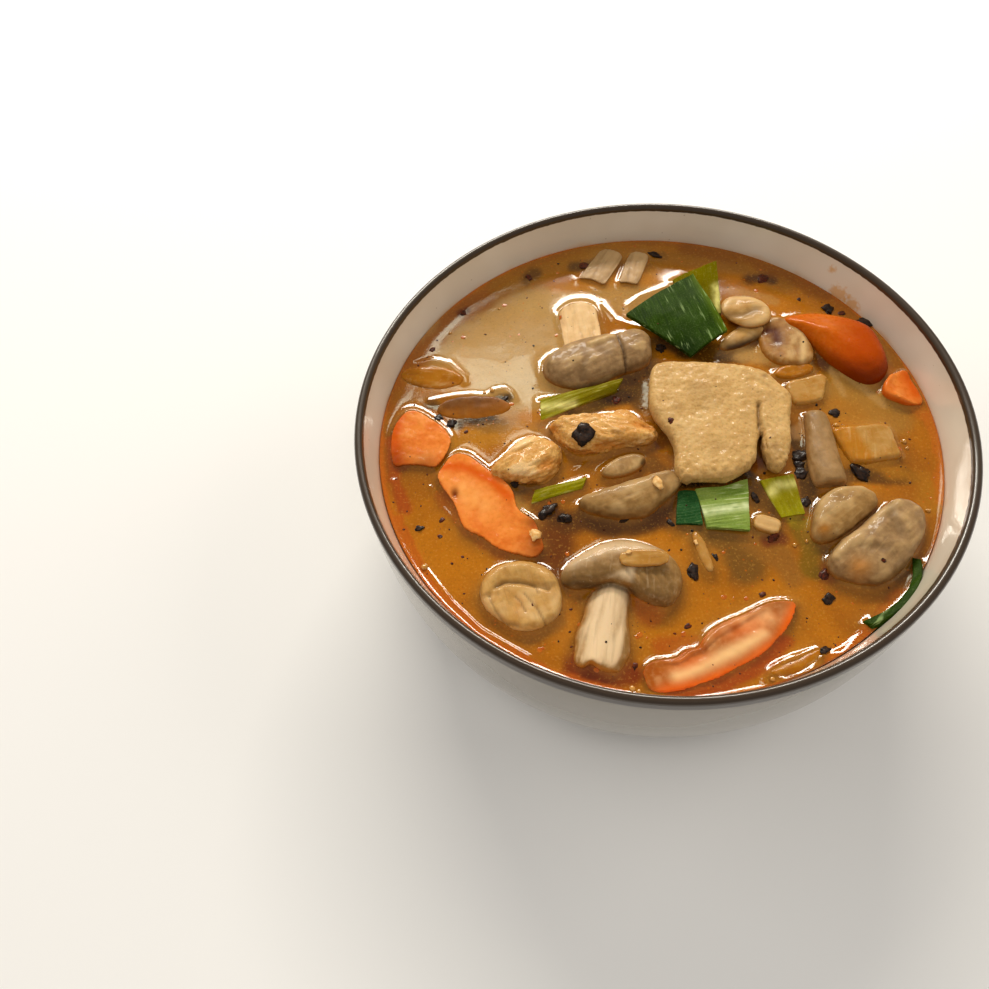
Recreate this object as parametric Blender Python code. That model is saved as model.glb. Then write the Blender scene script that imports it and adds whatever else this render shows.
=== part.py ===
"""Tom yum soup in its bowl: glazed stoneware, broth up to the level it stands at, and every topping in it.

The origin is the middle of the foot ring's underside, +Z is up and -Y is the side the bowl is looked at from.
Sizes in this file are millimetres, and heights of the toppings are measured from the surface of the broth.
"""

import math

import bpy
import bmesh
import numpy as np
from mathutils import Vector

MM = 0.001

# Bowl
RIM_RADIUS = 90.0
BOWL_HEIGHT = 66.0
LIP_RADIUS = 1.3  # the lip is a half round as thick as the wall there
FOOT_RADIUS = 44.0
FOOT_HEIGHT = 2.7
FOOT_WIDTH = 4.5
FOOT_HOLLOW = 1.8  # how far the underside is raised inside the foot ring
WALL_FULLNESS = 3.4  # exponent of the wall's curve: 2 is a round bowl, more is a straighter side
WALL_AT_BROTH = 5.3
FLOOR_THICKNESS = 6.0
BOWL_SIDES = 48
WALL_POINTS = 6
LIP_POINTS = 5

# Broth
BROTH_BELOW_LIP = 13.8
BROTH_LEVEL = BOWL_HEIGHT - BROTH_BELOW_LIP
GAP = 0.35  # kept between solids that touch
POCKET_GAP = 0.55
POCKET_HEADROOM = 2.0
WET_REACH = 1.5  # what starts this close above the broth counts as sunk in it

# Toppings
LOOP_POINTS = 14
STALK_SIDES = 10
LEAF_THICKNESS = 1.3

COLOURS = {
    "glaze": ((0.70, 0.64, 0.56), 0.25),
    "broth": ((0.45, 0.20, 0.02), 0.10),
    "chicken": ((0.72, 0.52, 0.30), 0.60),
    "mushroom": ((0.50, 0.40, 0.28), 0.50),
    "tomato": ((0.75, 0.22, 0.05), 0.30),
    "leek": ((0.12, 0.28, 0.04), 0.40),
    "leek_heart": ((0.55, 0.55, 0.08), 0.40),
    "onion": ((0.70, 0.50, 0.22), 0.35),
}


def clear_scene():
    """Removes whatever the file starts with."""
    for old in list(bpy.data.objects):
        bpy.data.objects.remove(old)


def finish(kind):
    """The material of one kind of food or of the glaze, made once."""
    if kind not in bpy.data.materials:
        colour, roughness = COLOURS[kind]
        material = bpy.data.materials.new(kind)
        material.use_nodes = True
        shader = material.node_tree.nodes["Principled BSDF"]
        shader.inputs["Base Color"].default_value = (*colour, 1.0)
        shader.inputs["Roughness"].default_value = roughness
        shader.inputs["Metallic"].default_value = 0.0
    return bpy.data.materials[kind]


def to_object(name, bm, kind, sharp_degrees=50.0):
    """Turns a bmesh in millimetres into a smooth-shaded object in metres."""
    bmesh.ops.recalc_face_normals(bm, faces=bm.faces)
    bmesh.ops.scale(bm, vec=(MM, MM, MM), verts=bm.verts)
    mesh = bpy.data.meshes.new(name)
    bm.to_mesh(mesh)
    bm.free()
    mesh.shade_smooth()
    mesh.set_sharp_from_angle(angle=math.radians(sharp_degrees))
    mesh.materials.append(finish(kind))
    obj = bpy.data.objects.new(name, mesh)
    bpy.context.scene.collection.objects.link(obj)
    return obj


# --- Outlines ---------------------------------------------------------------------------------------


def oval(length, width, count=LOOP_POINTS, fullness=2.0):
    """A closed superellipse: fullness 2 is an ellipse, more is a rounded rectangle."""
    loop = []
    for i in range(count):
        angle = 2 * math.pi * i / count
        c, s = math.cos(angle), math.sin(angle)
        x = math.copysign(abs(c) ** (2 / fullness), c) * length / 2
        y = math.copysign(abs(s) ** (2 / fullness), s) * width / 2
        loop.append((x, y))
    return loop


def smooth_loop(knots, count=LOOP_POINTS, fine=12):
    """A closed Catmull-Rom curve through the knots, read at even steps of its length."""
    knots = np.array(knots, float)
    curve = []
    for i in range(len(knots)):
        a, b, c, d = (knots[(i + k) % len(knots)] for k in (-1, 0, 1, 2))
        for t in np.arange(fine) / fine:
            bow, twist = 2 * a - 5 * b + 4 * c - d, 3 * b - a - 3 * c + d
            curve.append(0.5 * (2 * b + (c - a) * t + bow * t**2 + twist * t**3))
    curve = np.array(curve + [curve[0]])
    run = np.concatenate([[0.0], np.cumsum(np.linalg.norm(np.diff(curve, axis=0), axis=1))])
    at = np.linspace(0.0, run[-1], count, endpoint=False)
    return [(float(np.interp(s, run, curve[:, 0])), float(np.interp(s, run, curve[:, 1]))) for s in at]


def turned(points, degrees, at):
    """Flat points turned about their own zero, then carried to a place."""
    c, s = math.cos(math.radians(degrees)), math.sin(math.radians(degrees))
    return [(at[0] + c * x - s * y, at[1] + s * x + c * y) for x, y in points]


# --- Solids -----------------------------------------------------------------------------------------


def skin_rings(bm, rings):
    """Joins rings of points, lowest first, with quads, and closes each end with a fan round a middle point."""
    made = [[bm.verts.new(point) for point in ring] for ring in rings]
    count = len(made[0])
    for low, high in zip(made, made[1:]):
        for i in range(count):
            j = (i + 1) % count
            bm.faces.new((low[i], low[j], high[j], high[i]))
    for ring in (made[0], made[-1]):
        middle = bm.verts.new(sum((vert.co for vert in ring), Vector()) / count)
        for i in range(count):
            bm.faces.new((ring[i], ring[(i + 1) % count], middle))


def mound(name, kind, loop, layers, slope=(0.0, 0.0)):
    """A solid of one outline: each layer is (size against the outline, height above the broth).

    slope tips the whole solid: its height changes by that much for each millimetre along x and y.
    """
    bm = bmesh.new()
    middle = np.mean(loop, axis=0)
    rings = []
    for size, height in layers:
        ring = []
        for x, y in loop:
            x, y = middle[0] + size * (x - middle[0]), middle[1] + size * (y - middle[1])
            tip = slope[0] * (x - middle[0]) + slope[1] * (y - middle[1])
            ring.append((x, y, BROTH_LEVEL + height + tip))
        rings.append(ring)
    skin_rings(bm, rings)
    return to_object(name, bm, kind)


def slab(name, kind, loop, low, high, over, under):
    """A slice with upright sides between two heights, for an outline that may be torn or notched.

    over and under list the (inset, rise) steps of the upper face and of the underside, from the sides inwards.
    """
    bm = bmesh.new()
    base = bm.faces.new([bm.verts.new((x, y, BROTH_LEVEL + low)) for x, y in loop])
    raised = bmesh.ops.extrude_face_region(bm, geom=[base], use_keep_orig=True)["geom"]
    lid = next(item for item in raised if isinstance(item, bmesh.types.BMFace))
    bmesh.ops.translate(bm, vec=(0.0, 0.0, high - low), verts=lid.verts)
    bmesh.ops.recalc_face_normals(bm, faces=bm.faces)
    for face, steps in ((lid, over), (base, under)):
        for inset, rise in steps:
            bmesh.ops.inset_region(bm, faces=[face], thickness=inset, depth=rise, use_even_offset=True)
    return to_object(name, bm, kind)


def domed(top, sink, shoulder=0.55):
    """Layers of a rounded lump whose top is at one height and whose underside is sunk below the broth."""
    return [
        (0.55, -sink),
        (0.92, -0.6 * sink),
        (1.0, 0.1 * top),
        (0.94, shoulder * top),
        (0.70, 0.88 * top),
        (0.35, top),
    ]


def flat_cut(top, sink):
    """Layers of a slice with a flat cut face on top."""
    return [(0.70, -sink), (0.95, -0.7 * sink), (1.0, 0.3 * top), (0.96, 0.85 * top), (0.88, top), (0.45, top)]


def arc_between(start, end, bend, count):
    """Points of a shallow arc in plan: bend is how far its middle stands off the straight line, to its left."""
    start, end = Vector(start), Vector(end)
    along = end - start
    side = Vector((-along.y, along.x)).normalized()
    steps = [i / (count - 1) for i in range(count)]
    return [start + along * t + side * bend * 4 * t * (1 - t) for t in steps]


def run_along(name, kind, path, section, sizes, heights, sharp_degrees=50.0):
    """A solid whose section follows a path in plan.

    section holds (across, up) points, sizes the half width and half height at each point of the path, and
    heights the section's middle above the broth.
    """
    bm = bmesh.new()
    rings = []
    for i, place in enumerate(path):
        ahead = path[min(i + 1, len(path) - 1)] - path[max(i - 1, 0)]
        side = Vector((-ahead.y, ahead.x)).normalized()
        half_width, half_height = sizes[i]
        ring = []
        for across, up in section:
            point = place + side * across * half_width
            ring.append((point.x, point.y, BROTH_LEVEL + heights[i] + up * half_height))
        rings.append(ring)
    skin_rings(bm, rings)
    return to_object(name, bm, kind, sharp_degrees)


def stalk(name, start, end, radii, height, bend=0.0, flatness=1.0, rise=0.0, kind="mushroom"):
    """A mushroom's stem lying down: its radius goes evenly from one end's to the other's."""
    stations = (0.0, 0.03, 0.25, 0.5, 0.75, 0.97, 1.0)
    line = arc_between(start, end, bend, 33)
    path = [line[round(t * 32)] for t in stations]
    path[1], path[-2] = path[0].lerp(path[2], 0.1), path[-1].lerp(path[-3], 0.1)
    sizes, heights = [], []
    for t in stations:
        radius = radii[0] + (radii[1] - radii[0]) * t
        if t in (0.0, 1.0):
            radius *= 0.8
        sizes.append((radius, radius * flatness))
        heights.append(height + rise * t)
    return run_along(name, kind, path, oval(2.0, 2.0, STALK_SIDES), sizes, heights)


def wedge_section(lean):
    """Section of a tomato wedge: two cut faces meet at an inner edge, and the skin is the arc between them.

    lean is how far the skin has rolled up on the far side, from 0 for a wedge that lies on its skin.
    """
    skin = [math.radians(lean + 200 - 220 * i / 5) for i in range(6)]
    arc = [(math.cos(angle), math.sin(angle)) for angle in skin]
    edge = math.radians(lean + 90)
    return [(x, -y) for x, y in arc] + [(0.25 * math.cos(edge), -0.25 * math.sin(edge))]


def tomato_wedge(name, start, end, bend, width, depth, height, lean=0.0, blunt=(0.35, 0.35)):
    """A wedge of tomato lying in the broth, thickest in its middle and thin towards its ends."""
    count = 9
    path = arc_between(start, end, bend, count)
    sizes = []
    for i in range(count):
        t = 2 * i / (count - 1) - 1
        least = blunt[0] if t < 0 else blunt[1]
        full = least + (1 - least) * (1 - t * t) ** 0.5
        sizes.append((width / 2 * full, depth / 2 * full))
    return run_along(name, "tomato", path, wedge_section(lean), sizes, [height] * count, 35.0)


def leaf(name, kind, corners, bulge=(0.0, 0.0), cells=(4, 3), thickness=LEAF_THICKNESS):
    """A cut piece of leek leaf: a four-cornered sheet, bulged along and across, with its real thickness.

    corners go round from the first; each is (x, y, height).
    """
    bm = bmesh.new()
    a, b, c, d = (Vector(corner) for corner in corners)
    for i in range(cells[0] + 1):
        for j in range(cells[1] + 1):
            u, v = i / cells[0], j / cells[1]
            low, high = a.lerp(b, u), d.lerp(c, u)
            rise = bulge[0] * 4 * u * (1 - u) + bulge[1] * 4 * v * (1 - v)
            point = low.lerp(high, v) + Vector((0.0, 0.0, BROTH_LEVEL + rise))
            bm.verts.new(point)
    bm.verts.ensure_lookup_table()
    row = cells[1] + 1
    for i in range(cells[0]):
        for j in range(cells[1]):
            k = i * row + j
            bm.faces.new([bm.verts[n] for n in (k, k + row, k + row + 1, k + 1)])
    bmesh.ops.recalc_face_normals(bm, faces=bm.faces)
    top = bmesh.ops.extrude_face_region(bm, geom=bm.faces[:])["geom"]
    moved = [item for item in top if isinstance(item, bmesh.types.BMVert)]
    bmesh.ops.translate(bm, vec=(0.0, 0.0, thickness), verts=moved)
    return to_object(name, bm, kind, 35.0)


# --- Bowl and broth ---------------------------------------------------------------------------------


def wall_radius(z, inner):
    """Radius of the outer or the inner wall at a height above the foot."""
    top, bottom = BOWL_HEIGHT - LIP_RADIUS, FOOT_HEIGHT
    t = min(max((top - z) / (top - bottom), 0.0), 1.0)
    outer = FOOT_RADIUS + (RIM_RADIUS - FOOT_RADIUS) * (1 - t**WALL_FULLNESS) ** (1 / WALL_FULLNESS)
    if not inner:
        return outer
    deep = min((top - z) / (BROTH_BELOW_LIP - LIP_RADIUS), 1.0)
    return outer - 2 * LIP_RADIUS - (WALL_AT_BROTH - 2 * LIP_RADIUS) * deep


def wall_points(radius, foot_radius, top, bottom, lift):
    """Points of a wall from its top to its floor, closer together where it turns."""
    points = []
    for i in range(WALL_POINTS + 1):
        angle = math.radians(90) * i / WALL_POINTS
        t = math.sin(angle) ** (2 / WALL_FULLNESS)
        r = foot_radius + (radius - foot_radius) * math.cos(angle) ** (2 / WALL_FULLNESS)
        points.append((r, top + (bottom - top) * t + lift))
    return points


def inner_wall(offset=0.0):
    """The inner wall from just under the lip to the floor, pulled in by an offset."""
    at_broth = wall_radius(BROTH_LEVEL, inner=True) - offset
    floor = FOOT_HEIGHT + FLOOR_THICKNESS + offset
    flat = FOOT_RADIUS - WALL_AT_BROTH
    return wall_points(at_broth, flat, BROTH_LEVEL, floor, 0.0) + [(0.0, floor)]


def turned_solid(name, kind, profile, sides):
    """A profile in x and z, top to bottom on its outer side, turned about the z axis by a Screw modifier."""
    mesh = bpy.data.meshes.new(name)
    verts = [(r * MM, 0.0, z * MM) for r, z in profile]
    mesh.from_pydata(verts, [(i, i + 1) for i in range(len(verts) - 1)], [])
    mesh.materials.append(finish(kind))
    obj = bpy.data.objects.new(name, mesh)
    bpy.context.scene.collection.objects.link(obj)
    screw = obj.modifiers.new("Turn", "SCREW")
    screw.steps = screw.render_steps = sides
    screw.use_merge_vertices = True
    screw.merge_threshold = 0.00001
    screw.use_smooth_shade = True
    return obj


def make_bowl():
    """The bowl: floor, inner wall, half-round lip, outer wall, foot ring and the hollow under it."""
    lip_centre = (RIM_RADIUS - LIP_RADIUS, BOWL_HEIGHT - LIP_RADIUS)
    lip = []
    for i in range(LIP_POINTS):
        angle = math.pi * (1 - i / (LIP_POINTS - 1))
        lip.append((lip_centre[0] + LIP_RADIUS * math.cos(angle), lip_centre[1] + LIP_RADIUS * math.sin(angle)))
    half_way = (BROTH_LEVEL + lip_centre[1]) / 2
    inside = inner_wall()[::-1] + [(wall_radius(half_way, inner=True), half_way)]
    outside = wall_points(RIM_RADIUS, FOOT_RADIUS + 2.0, lip_centre[1], FOOT_HEIGHT, 0.0)[1:]
    foot = [
        (FOOT_RADIUS + 1.0, 0.5),
        (FOOT_RADIUS + 0.5, 0.0),
        (FOOT_RADIUS - FOOT_WIDTH + 1.0, 0.0),
        (FOOT_RADIUS - FOOT_WIDTH, 0.6),
        (FOOT_RADIUS - FOOT_WIDTH - 0.6, FOOT_HOLLOW),
        (0.0, FOOT_HOLLOW),
    ]
    return turned_solid("bowl", "glaze", inside + lip + outside + foot, BOWL_SIDES)


def make_broth(toppings):
    """The broth up to its level, cut away round each topping."""
    wall = inner_wall(GAP)
    profile = [(0.0, BROTH_LEVEL), (wall[0][0] / 2, BROTH_LEVEL)] + wall
    broth = turned_solid("broth", "broth", profile, BOWL_SIDES)
    pockets = bpy.data.collections.new("pockets")
    bpy.context.scene.collection.children.link(pockets)
    for topping in toppings:
        pocket = make_pocket(topping)
        if pocket:
            pockets.objects.link(pocket)
    cut = broth.modifiers.new("Cut round toppings", "BOOLEAN")
    cut.operation = "DIFFERENCE"
    cut.operand_type = "COLLECTION"
    cut.collection = pockets
    return broth


def hull(points):
    """The convex outline of flat points, anticlockwise."""
    points = sorted(set(points))
    outline = []
    for ordered in (points, points[::-1]):
        chain = []
        for p in ordered:
            while len(chain) > 1:
                (ax, ay), (bx, by) = chain[-2], chain[-1]
                if (bx - ax) * (p[1] - ay) - (by - ay) * (p[0] - ax) > 0.1:
                    break
                chain.pop()
            chain.append(p)
        outline += chain[:-1]
    return outline


def make_pocket(topping):
    """A cutter as wide as the sunk part of a topping, or None for one that lies clear of the broth."""
    points = [vert.co / MM for vert in topping.data.vertices]
    wet = [p for p in points if p.z < BROTH_LEVEL + WET_REACH]
    if len(wet) < 3:
        return None
    outline = hull([(round(p.x, 2), round(p.y, 2)) for p in wet])
    middle = Vector(np.mean(outline, axis=0))
    low = min(p.z for p in wet) - POCKET_GAP
    bm = bmesh.new()
    base = []
    for x, y in outline:
        out = (Vector((x, y)) - middle).normalized() * POCKET_GAP * 1.2
        base.append(bm.verts.new((x + out.x, y + out.y, low)))
    face = bm.faces.new(base)
    raised = bmesh.ops.extrude_face_region(bm, geom=[face])["geom"]
    lifted = [item for item in raised if isinstance(item, bmesh.types.BMVert)]
    bmesh.ops.translate(bm, vec=(0.0, 0.0, BROTH_LEVEL + POCKET_HEADROOM - low), verts=lifted)
    cutter = to_object(topping.name + "_pocket", bm, "broth")
    bpy.context.scene.collection.objects.unlink(cutter)
    cutter.hide_render = True
    cutter.display_type = "WIRE"
    return cutter


# --- Toppings ---------------------------------------------------------------------------------------


def make_chicken():
    """The big slice with a torn right side, and two lumps of pulled breast."""
    slice_outline = [
        (6.5, 21.0), (17.5, 20.0), (33.0, 16.0), (38.5, 11.0), (41.3, 2.0), (39.5, -9.5), (36.5, -19.0),
        (31.5, -23.5), (29.2, -21.0), (31.4, -13.5), (32.4, -6.5), (29.4, -12.5), (26.6, -18.0), (24.0, -22.0),
        (12.0, -24.0), (3.2, -22.5), (4.5, -11.0), (1.0, -1.0), (1.5, 11.0),
    ]
    slice_top = [(0.7, 0.7), (1.3, 0.4)]
    slice_underside = [(1.2, 0.9), (1.3, 2.2)]
    lump_outline = [
        (-28.5, -6.0), (-30.0, -1.5), (-38.0, 1.5), (-45.0, -2.0), (-47.0, -4.5), (-50.0, -6.5), (-48.0, -9.5),
        (-44.0, -12.5), (-36.0, -13.5), (-31.0, -11.5),
    ]
    shred_outline = [
        (-31.5, 5.5), (-24.0, 7.0), (-15.0, 6.5), (-5.0, 2.5), (0.4, -3.2), (-4.5, -5.0), (-12.0, -5.0),
        (-20.0, -6.5), (-26.0, -5.0), (-27.5, 0.5),
    ]
    return [
        slab("chicken_slice", "chicken", smooth_loop(slice_outline, 34), 2.2, 5.6, slice_top, slice_underside),
        mound("chicken_lump", "chicken", smooth_loop(lump_outline), domed(5.6, 3.0)),
        mound("chicken_shred", "chicken", smooth_loop(shred_outline, 16), domed(5.6, 2.5)),
    ]


def make_mushrooms():
    """Halved, quartered and sliced mushrooms: caps, stems, and one cap with its stem still on."""
    crescent = [
        (-28.5, -23.5), (-21.0, -21.0), (-6.0, -18.5), (1.0, -16.0), (3.0, -17.5), (1.4, -23.0), (-2.0, -26.5),
        (-8.0, -29.0), (-16.0, -29.0), (-24.0, -27.5),
    ]
    large_cap = [
        (-36.5, -46.0), (-31.0, -41.0), (-21.0, -37.5), (-11.0, -39.0), (-5.0, -43.0), (-2.0, -50.0),
        (-4.0, -57.0), (-8.5, -59.5), (-13.0, -57.5), (-18.0, -52.0), (-26.0, -50.0), (-34.0, -50.0),
    ]
    right_far = [
        (35.5, -45.5), (38.0, -38.5), (41.0, -32.5), (45.5, -30.5), (52.0, -30.0), (57.0, -31.5),
        (58.5, -34.5), (55.5, -38.0), (48.0, -42.5), (40.0, -46.5),
    ]
    right_near = [
        (38.0, -52.0), (40.0, -49.0), (48.0, -44.5), (57.0, -38.5), (62.5, -35.5), (66.0, -38.5),
        (67.0, -44.0), (63.0, -51.0), (56.5, -56.0), (48.0, -60.0), (42.0, -58.5), (38.8, -55.5),
    ]
    brown = [
        (44.5, 35.0), (50.0, 35.5), (53.5, 31.0), (54.5, 24.0), (54.0, 18.5), (47.5, 18.5), (43.0, 22.0),
        (43.0, 28.0),
    ]
    half_turn, grey_turn = -10.0, 12.0
    half = turned(oval(21.5, 20.5, fullness=2.6), half_turn, (-47.0, -50.0))
    grey = turned(oval(37.0, 17.0, 16, fullness=2.3), grey_turn, (-11.0, 29.5))
    oval_slice = turned(oval(14.5, 6.5), 15.0, (-11.0, -12.5))
    pale = turned(oval(12.5, 9.0), -20.0, (39.5, 40.0))
    cream = turned(oval(15.5, 5.0), 24.0, (35.8, 31.3))
    bit = turned(oval(7.6, 5.0, 10, fullness=3.5), -25.0, (25.0, -38.0))
    dark = turned(oval(25.0, 12.0), -8.0, (-53.5, 15.5))
    large = mound("mushroom_large", "mushroom", smooth_loop(large_cap, 16), domed(6.6, 2.5, 0.7))
    stem = stalk("mushroom_large_stem", (-19.5, -47.0), (-30.2, -73.2), (4.8, 6.6), -0.8, flatness=0.78)
    join = large.modifiers.new("Grow stem", "BOOLEAN")
    join.operation = "UNION"
    join.object = stem
    stem.hide_render = True
    stem.display_type = "WIRE"
    solids = [
        large,
        mound("mushroom_grey_cap", "mushroom", grey, domed(6.6, 3.0, 0.65)),
        mound("mushroom_crescent", "mushroom", smooth_loop(crescent), domed(5.4, 2.2, 0.7)),
        mound("mushroom_oval_slice", "mushroom", oval_slice, flat_cut(2.4, 1.6)),
        mound("mushroom_half", "mushroom", half, flat_cut(3.2, 4.0)),
        mound("mushroom_right_far", "mushroom", smooth_loop(right_far), domed(5.0, 3.0, 0.7)),
        mound("mushroom_right_near", "mushroom", smooth_loop(right_near, 16), domed(6.4, 3.0, 0.7)),
        mound("mushroom_slice_pale", "mushroom", pale, [(0.8, 2.9), (1.0, 3.4), (1.0, 4.4), (0.85, 5.0)]),
        mound("mushroom_slice_cream", "mushroom", cream, flat_cut(2.3, 2.0)),
        mound("mushroom_slice_brown", "mushroom", smooth_loop(brown), flat_cut(2.6, 2.4)),
        mound("mushroom_stem_bit", "mushroom", bit, flat_cut(2.0, 2.0)),
        mound("mushroom_sunk_dark", "mushroom", dark, domed(0.8, 3.5)),
        stalk("mushroom_stem_cream", (-14.0, 39.4), (-13.3, 58.2), (6.8, 7.2), -5.0, flatness=0.9),
        stalk("mushroom_stem_grey", (50.3, -2.6), (46.6, -28.2), (3.4, 4.8), 1.2, bend=-0.6, flatness=0.85),
        stalk("mushroom_stem_back_left", (-5.0, 68.2), (2.9, 79.6), (4.2, 3.9), -2.3, flatness=0.95),
        stalk("mushroom_stem_back_right", (6.4, 65.0), (12.2, 77.6), (3.2, 3.4), -1.9, flatness=0.95),
    ]
    return solids, [stem]


def make_tomatoes():
    """Wedges of tomato: some lie on the skin, some show it."""
    skin_up = [
        (51.5, 35.5), (56.0, 37.0), (63.5, 37.0), (70.5, 33.5), (76.0, 28.5), (78.8, 20.8), (78.8, 12.0),
        (76.0, 7.0), (70.5, 4.5), (65.5, 9.5), (60.0, 19.0), (57.0, 28.0),
    ]
    wedges = (
        # name, start, end, bend, width, depth, height, lean, blunt
        ("left", (-65.5, -3.0), (-39.5, -36.0), 2.0, 16.0, 12.0, -0.8, -22.0, (0.5, 0.45)),
        ("wall", (-74.0, 19.5), (-74.3, -2.4), 1.0, 17.0, 11.0, -1.5, 12.0, (0.12, 0.75)),
        ("front", (-17.5, -77.5), (26.0, -62.0), -2.2, 13.0, 12.0, -0.6, -30.0, (0.55, 0.1)),
        ("bit", (80.2, 8.4), (80.9, -1.6), -0.4, 6.6, 7.0, 1.9, 15.0, (0.5, 0.4)),
    )
    solids = [tomato_wedge("tomato_" + name, *sizes) for name, *sizes in wedges]
    return solids + [mound("tomato_right", "tomato", smooth_loop(skin_up, 16), domed(5.8, 3.5, 0.62))]


def make_leeks():
    """Cut leek leaves: dark outer leaf, lighter leaf and yellow-green heart."""
    leaves = (
        # name, kind, four corners, bulge along and across
        ("square", "leek", (1.2, 45.5, 3.4), (26.6, 58.2, 5.2),
         (31.8, 32.2, 4.0), (17.8, 23.6, 3.6), (1.0, 0.6)),
        ("back", "leek_heart", (21.0, 61.5, 0.2), (37.0, 65.5, 2.8),
         (33.0, 42.5, 0.8), (23.0, 46.0, -0.6), (0.4, 0.3)),
        ("strip_left", "leek_heart", (-33.0, 8.8, -0.6), (-8.0, 15.9, 0.4),
         (-5.0, 19.4, 2.0), (-32.0, 16.4, 0.4), (0.3, 0.6)),
        ("strip_low", "leek_heart", (-40.0, -20.8, -0.4), (-24.5, -18.2, -0.2),
         (-22.5, -14.6, 0.4), (-38.5, -17.0, 0.4), (0.2, 0.4)),
        ("dark", "leek", (-0.2, -34.3, 0.2), (7.3, -35.6, 0.5),
         (7.6, -26.0, 0.1), (2.2, -25.0, -0.6), (0.0, 0.3)),
        ("light", "leek", (8.2, -36.8, 0.6), (19.6, -39.8, 1.0),
         (22.6, -25.6, 0.0), (8.4, -25.8, -0.2), (0.2, 0.5)),
        ("curl", "leek_heart", (29.2, -38.0, -1.6), (36.0, -38.0, -1.2),
         (36.8, -25.0, 0.2), (26.8, -25.6, -0.6), (0.2, -0.8)),
    )
    solids = [leaf("leek_" + name, kind, corners, bulge) for name, kind, *corners, bulge in leaves]
    wall_strip = arc_between((41.4, -71.2), (61.6, -55.0), -1.6, 6)
    section = [(-0.5, -1.0), (0.35, -0.95), (0.75, 1.0), (0.1, 1.0)]
    strip = run_along("leek_wall_strip", "leek", wall_strip, section, [(1.3, 2.0)] * 6, [0.8] * 6)
    return solids + [strip]


def make_onions():
    """Pieces of onion and of lemongrass heart, most of them barely out of the broth."""
    square = [(45.4, 10.4), (52.0, 11.6), (58.5, 12.4), (56.5, 7.0), (54.0, 2.4), (45.6, 1.8), (45.0, 6.0)]
    heart = [
        (54.5, -10.5), (60.0, -9.5), (66.0, -10.0), (69.5, -13.0), (69.0, -20.0), (65.0, -21.5), (59.0, -22.0),
        (55.0, -18.5),
    ]
    lens = turned(oval(12.5, 5.0), 4.0, (49.5, 15.2))
    sunk = turned(oval(19.0, 8.5), -14.0, (-65.0, 32.0))
    sliver = turned(oval(13.5, 3.0, 10), 96.0, (5.4, -43.6))
    front = arc_between((13.6, -80.0), (27.0, -76.6), -0.5, 7)
    front_sizes = [(2.1 * math.sin(math.pi * (i + 0.8) / 7.6), 1.5) for i in range(7)]
    cap_slice = turned(oval(13.5, 5.0, 12, fullness=2.8), -6.0, (-12.5, -46.5))
    return [
        mound("onion_square", "onion", smooth_loop(square), flat_cut(1.6, 1.6)),
        mound("onion_lens", "onion", lens, flat_cut(1.4, 1.6)),
        mound("onion_heart", "onion", smooth_loop(heart), flat_cut(2.0, 3.0)),
        mound("onion_cap_slice", "onion", cap_slice, [(0.86, 7.0), (1.0, 7.3), (1.0, 7.8), (0.82, 8.1)], (0.0, 0.02)),
        mound("onion_sliver", "onion", sliver, flat_cut(0.6, 1.2)),
        mound("onion_sunk_left", "onion", sunk, domed(0.7, 3.2)),
        run_along("onion_front", "onion", front, oval(2.0, 2.0, 8), front_sizes, [-0.4] * 7),
    ]


def main():
    """Builds the bowl, the toppings, and last the broth that is cut round them."""
    clear_scene()
    make_bowl()
    mushrooms, mushroom_stems = make_mushrooms()
    toppings = make_chicken() + mushrooms + make_tomatoes() + make_leeks() + make_onions()
    make_broth(toppings + mushroom_stems)


main()
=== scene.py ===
"""Tom yum soup in its bowl: stoneware, broth with its menisci, cooked toppings, flakes, crumbs, oil and bubbles.

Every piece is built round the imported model. Sizes are in millimetres unless a name says otherwise, and the
places of marks on a topping are given from the middle of that topping's plan.
"""

import logging
import math
from collections.abc import Iterator, Sequence
from contextlib import contextmanager
from dataclasses import dataclass, field, replace
from enum import Enum
from itertools import product

import bpy
import numpy as np
from mathutils import Matrix, Vector
from mathutils.bvhtree import BVHTree


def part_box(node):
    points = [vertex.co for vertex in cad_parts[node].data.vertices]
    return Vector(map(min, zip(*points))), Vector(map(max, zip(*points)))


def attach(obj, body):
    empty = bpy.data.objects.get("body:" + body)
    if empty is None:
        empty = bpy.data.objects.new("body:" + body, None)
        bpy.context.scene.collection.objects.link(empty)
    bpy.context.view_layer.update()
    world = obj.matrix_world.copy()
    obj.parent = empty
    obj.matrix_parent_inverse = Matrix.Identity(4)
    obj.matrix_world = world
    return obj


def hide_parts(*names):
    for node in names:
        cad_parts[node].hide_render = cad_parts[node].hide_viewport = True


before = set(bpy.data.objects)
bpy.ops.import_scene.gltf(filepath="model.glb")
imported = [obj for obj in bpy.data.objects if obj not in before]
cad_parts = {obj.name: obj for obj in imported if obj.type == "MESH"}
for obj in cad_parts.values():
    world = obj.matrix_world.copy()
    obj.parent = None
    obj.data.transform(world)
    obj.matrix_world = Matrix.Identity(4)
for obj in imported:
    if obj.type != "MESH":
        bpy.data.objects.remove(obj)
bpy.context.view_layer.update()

log = logging.getLogger("tom_yum")

MM = 0.001
BODY = "root"
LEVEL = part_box("broth")[1].z / MM  # height of the broth's surface
BROTH_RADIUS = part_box("broth")[1].x / MM
RIM_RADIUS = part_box("bowl")[1].x / MM
BOWL_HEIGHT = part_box("bowl")[1].z / MM

Plan = tuple[float, float]
Colour = tuple[float, float, float]


class Slot(Enum):
    """The record's material slots."""

    BOWL = "bowl_glaze"
    BROTH = "broth"
    CHICKEN = "chicken"
    MUSHROOM = "mushroom"
    TOMATO = "tomato"
    LEEK = "leek_green"
    HEART = "leek_heart"
    ONION = "onion"


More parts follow.
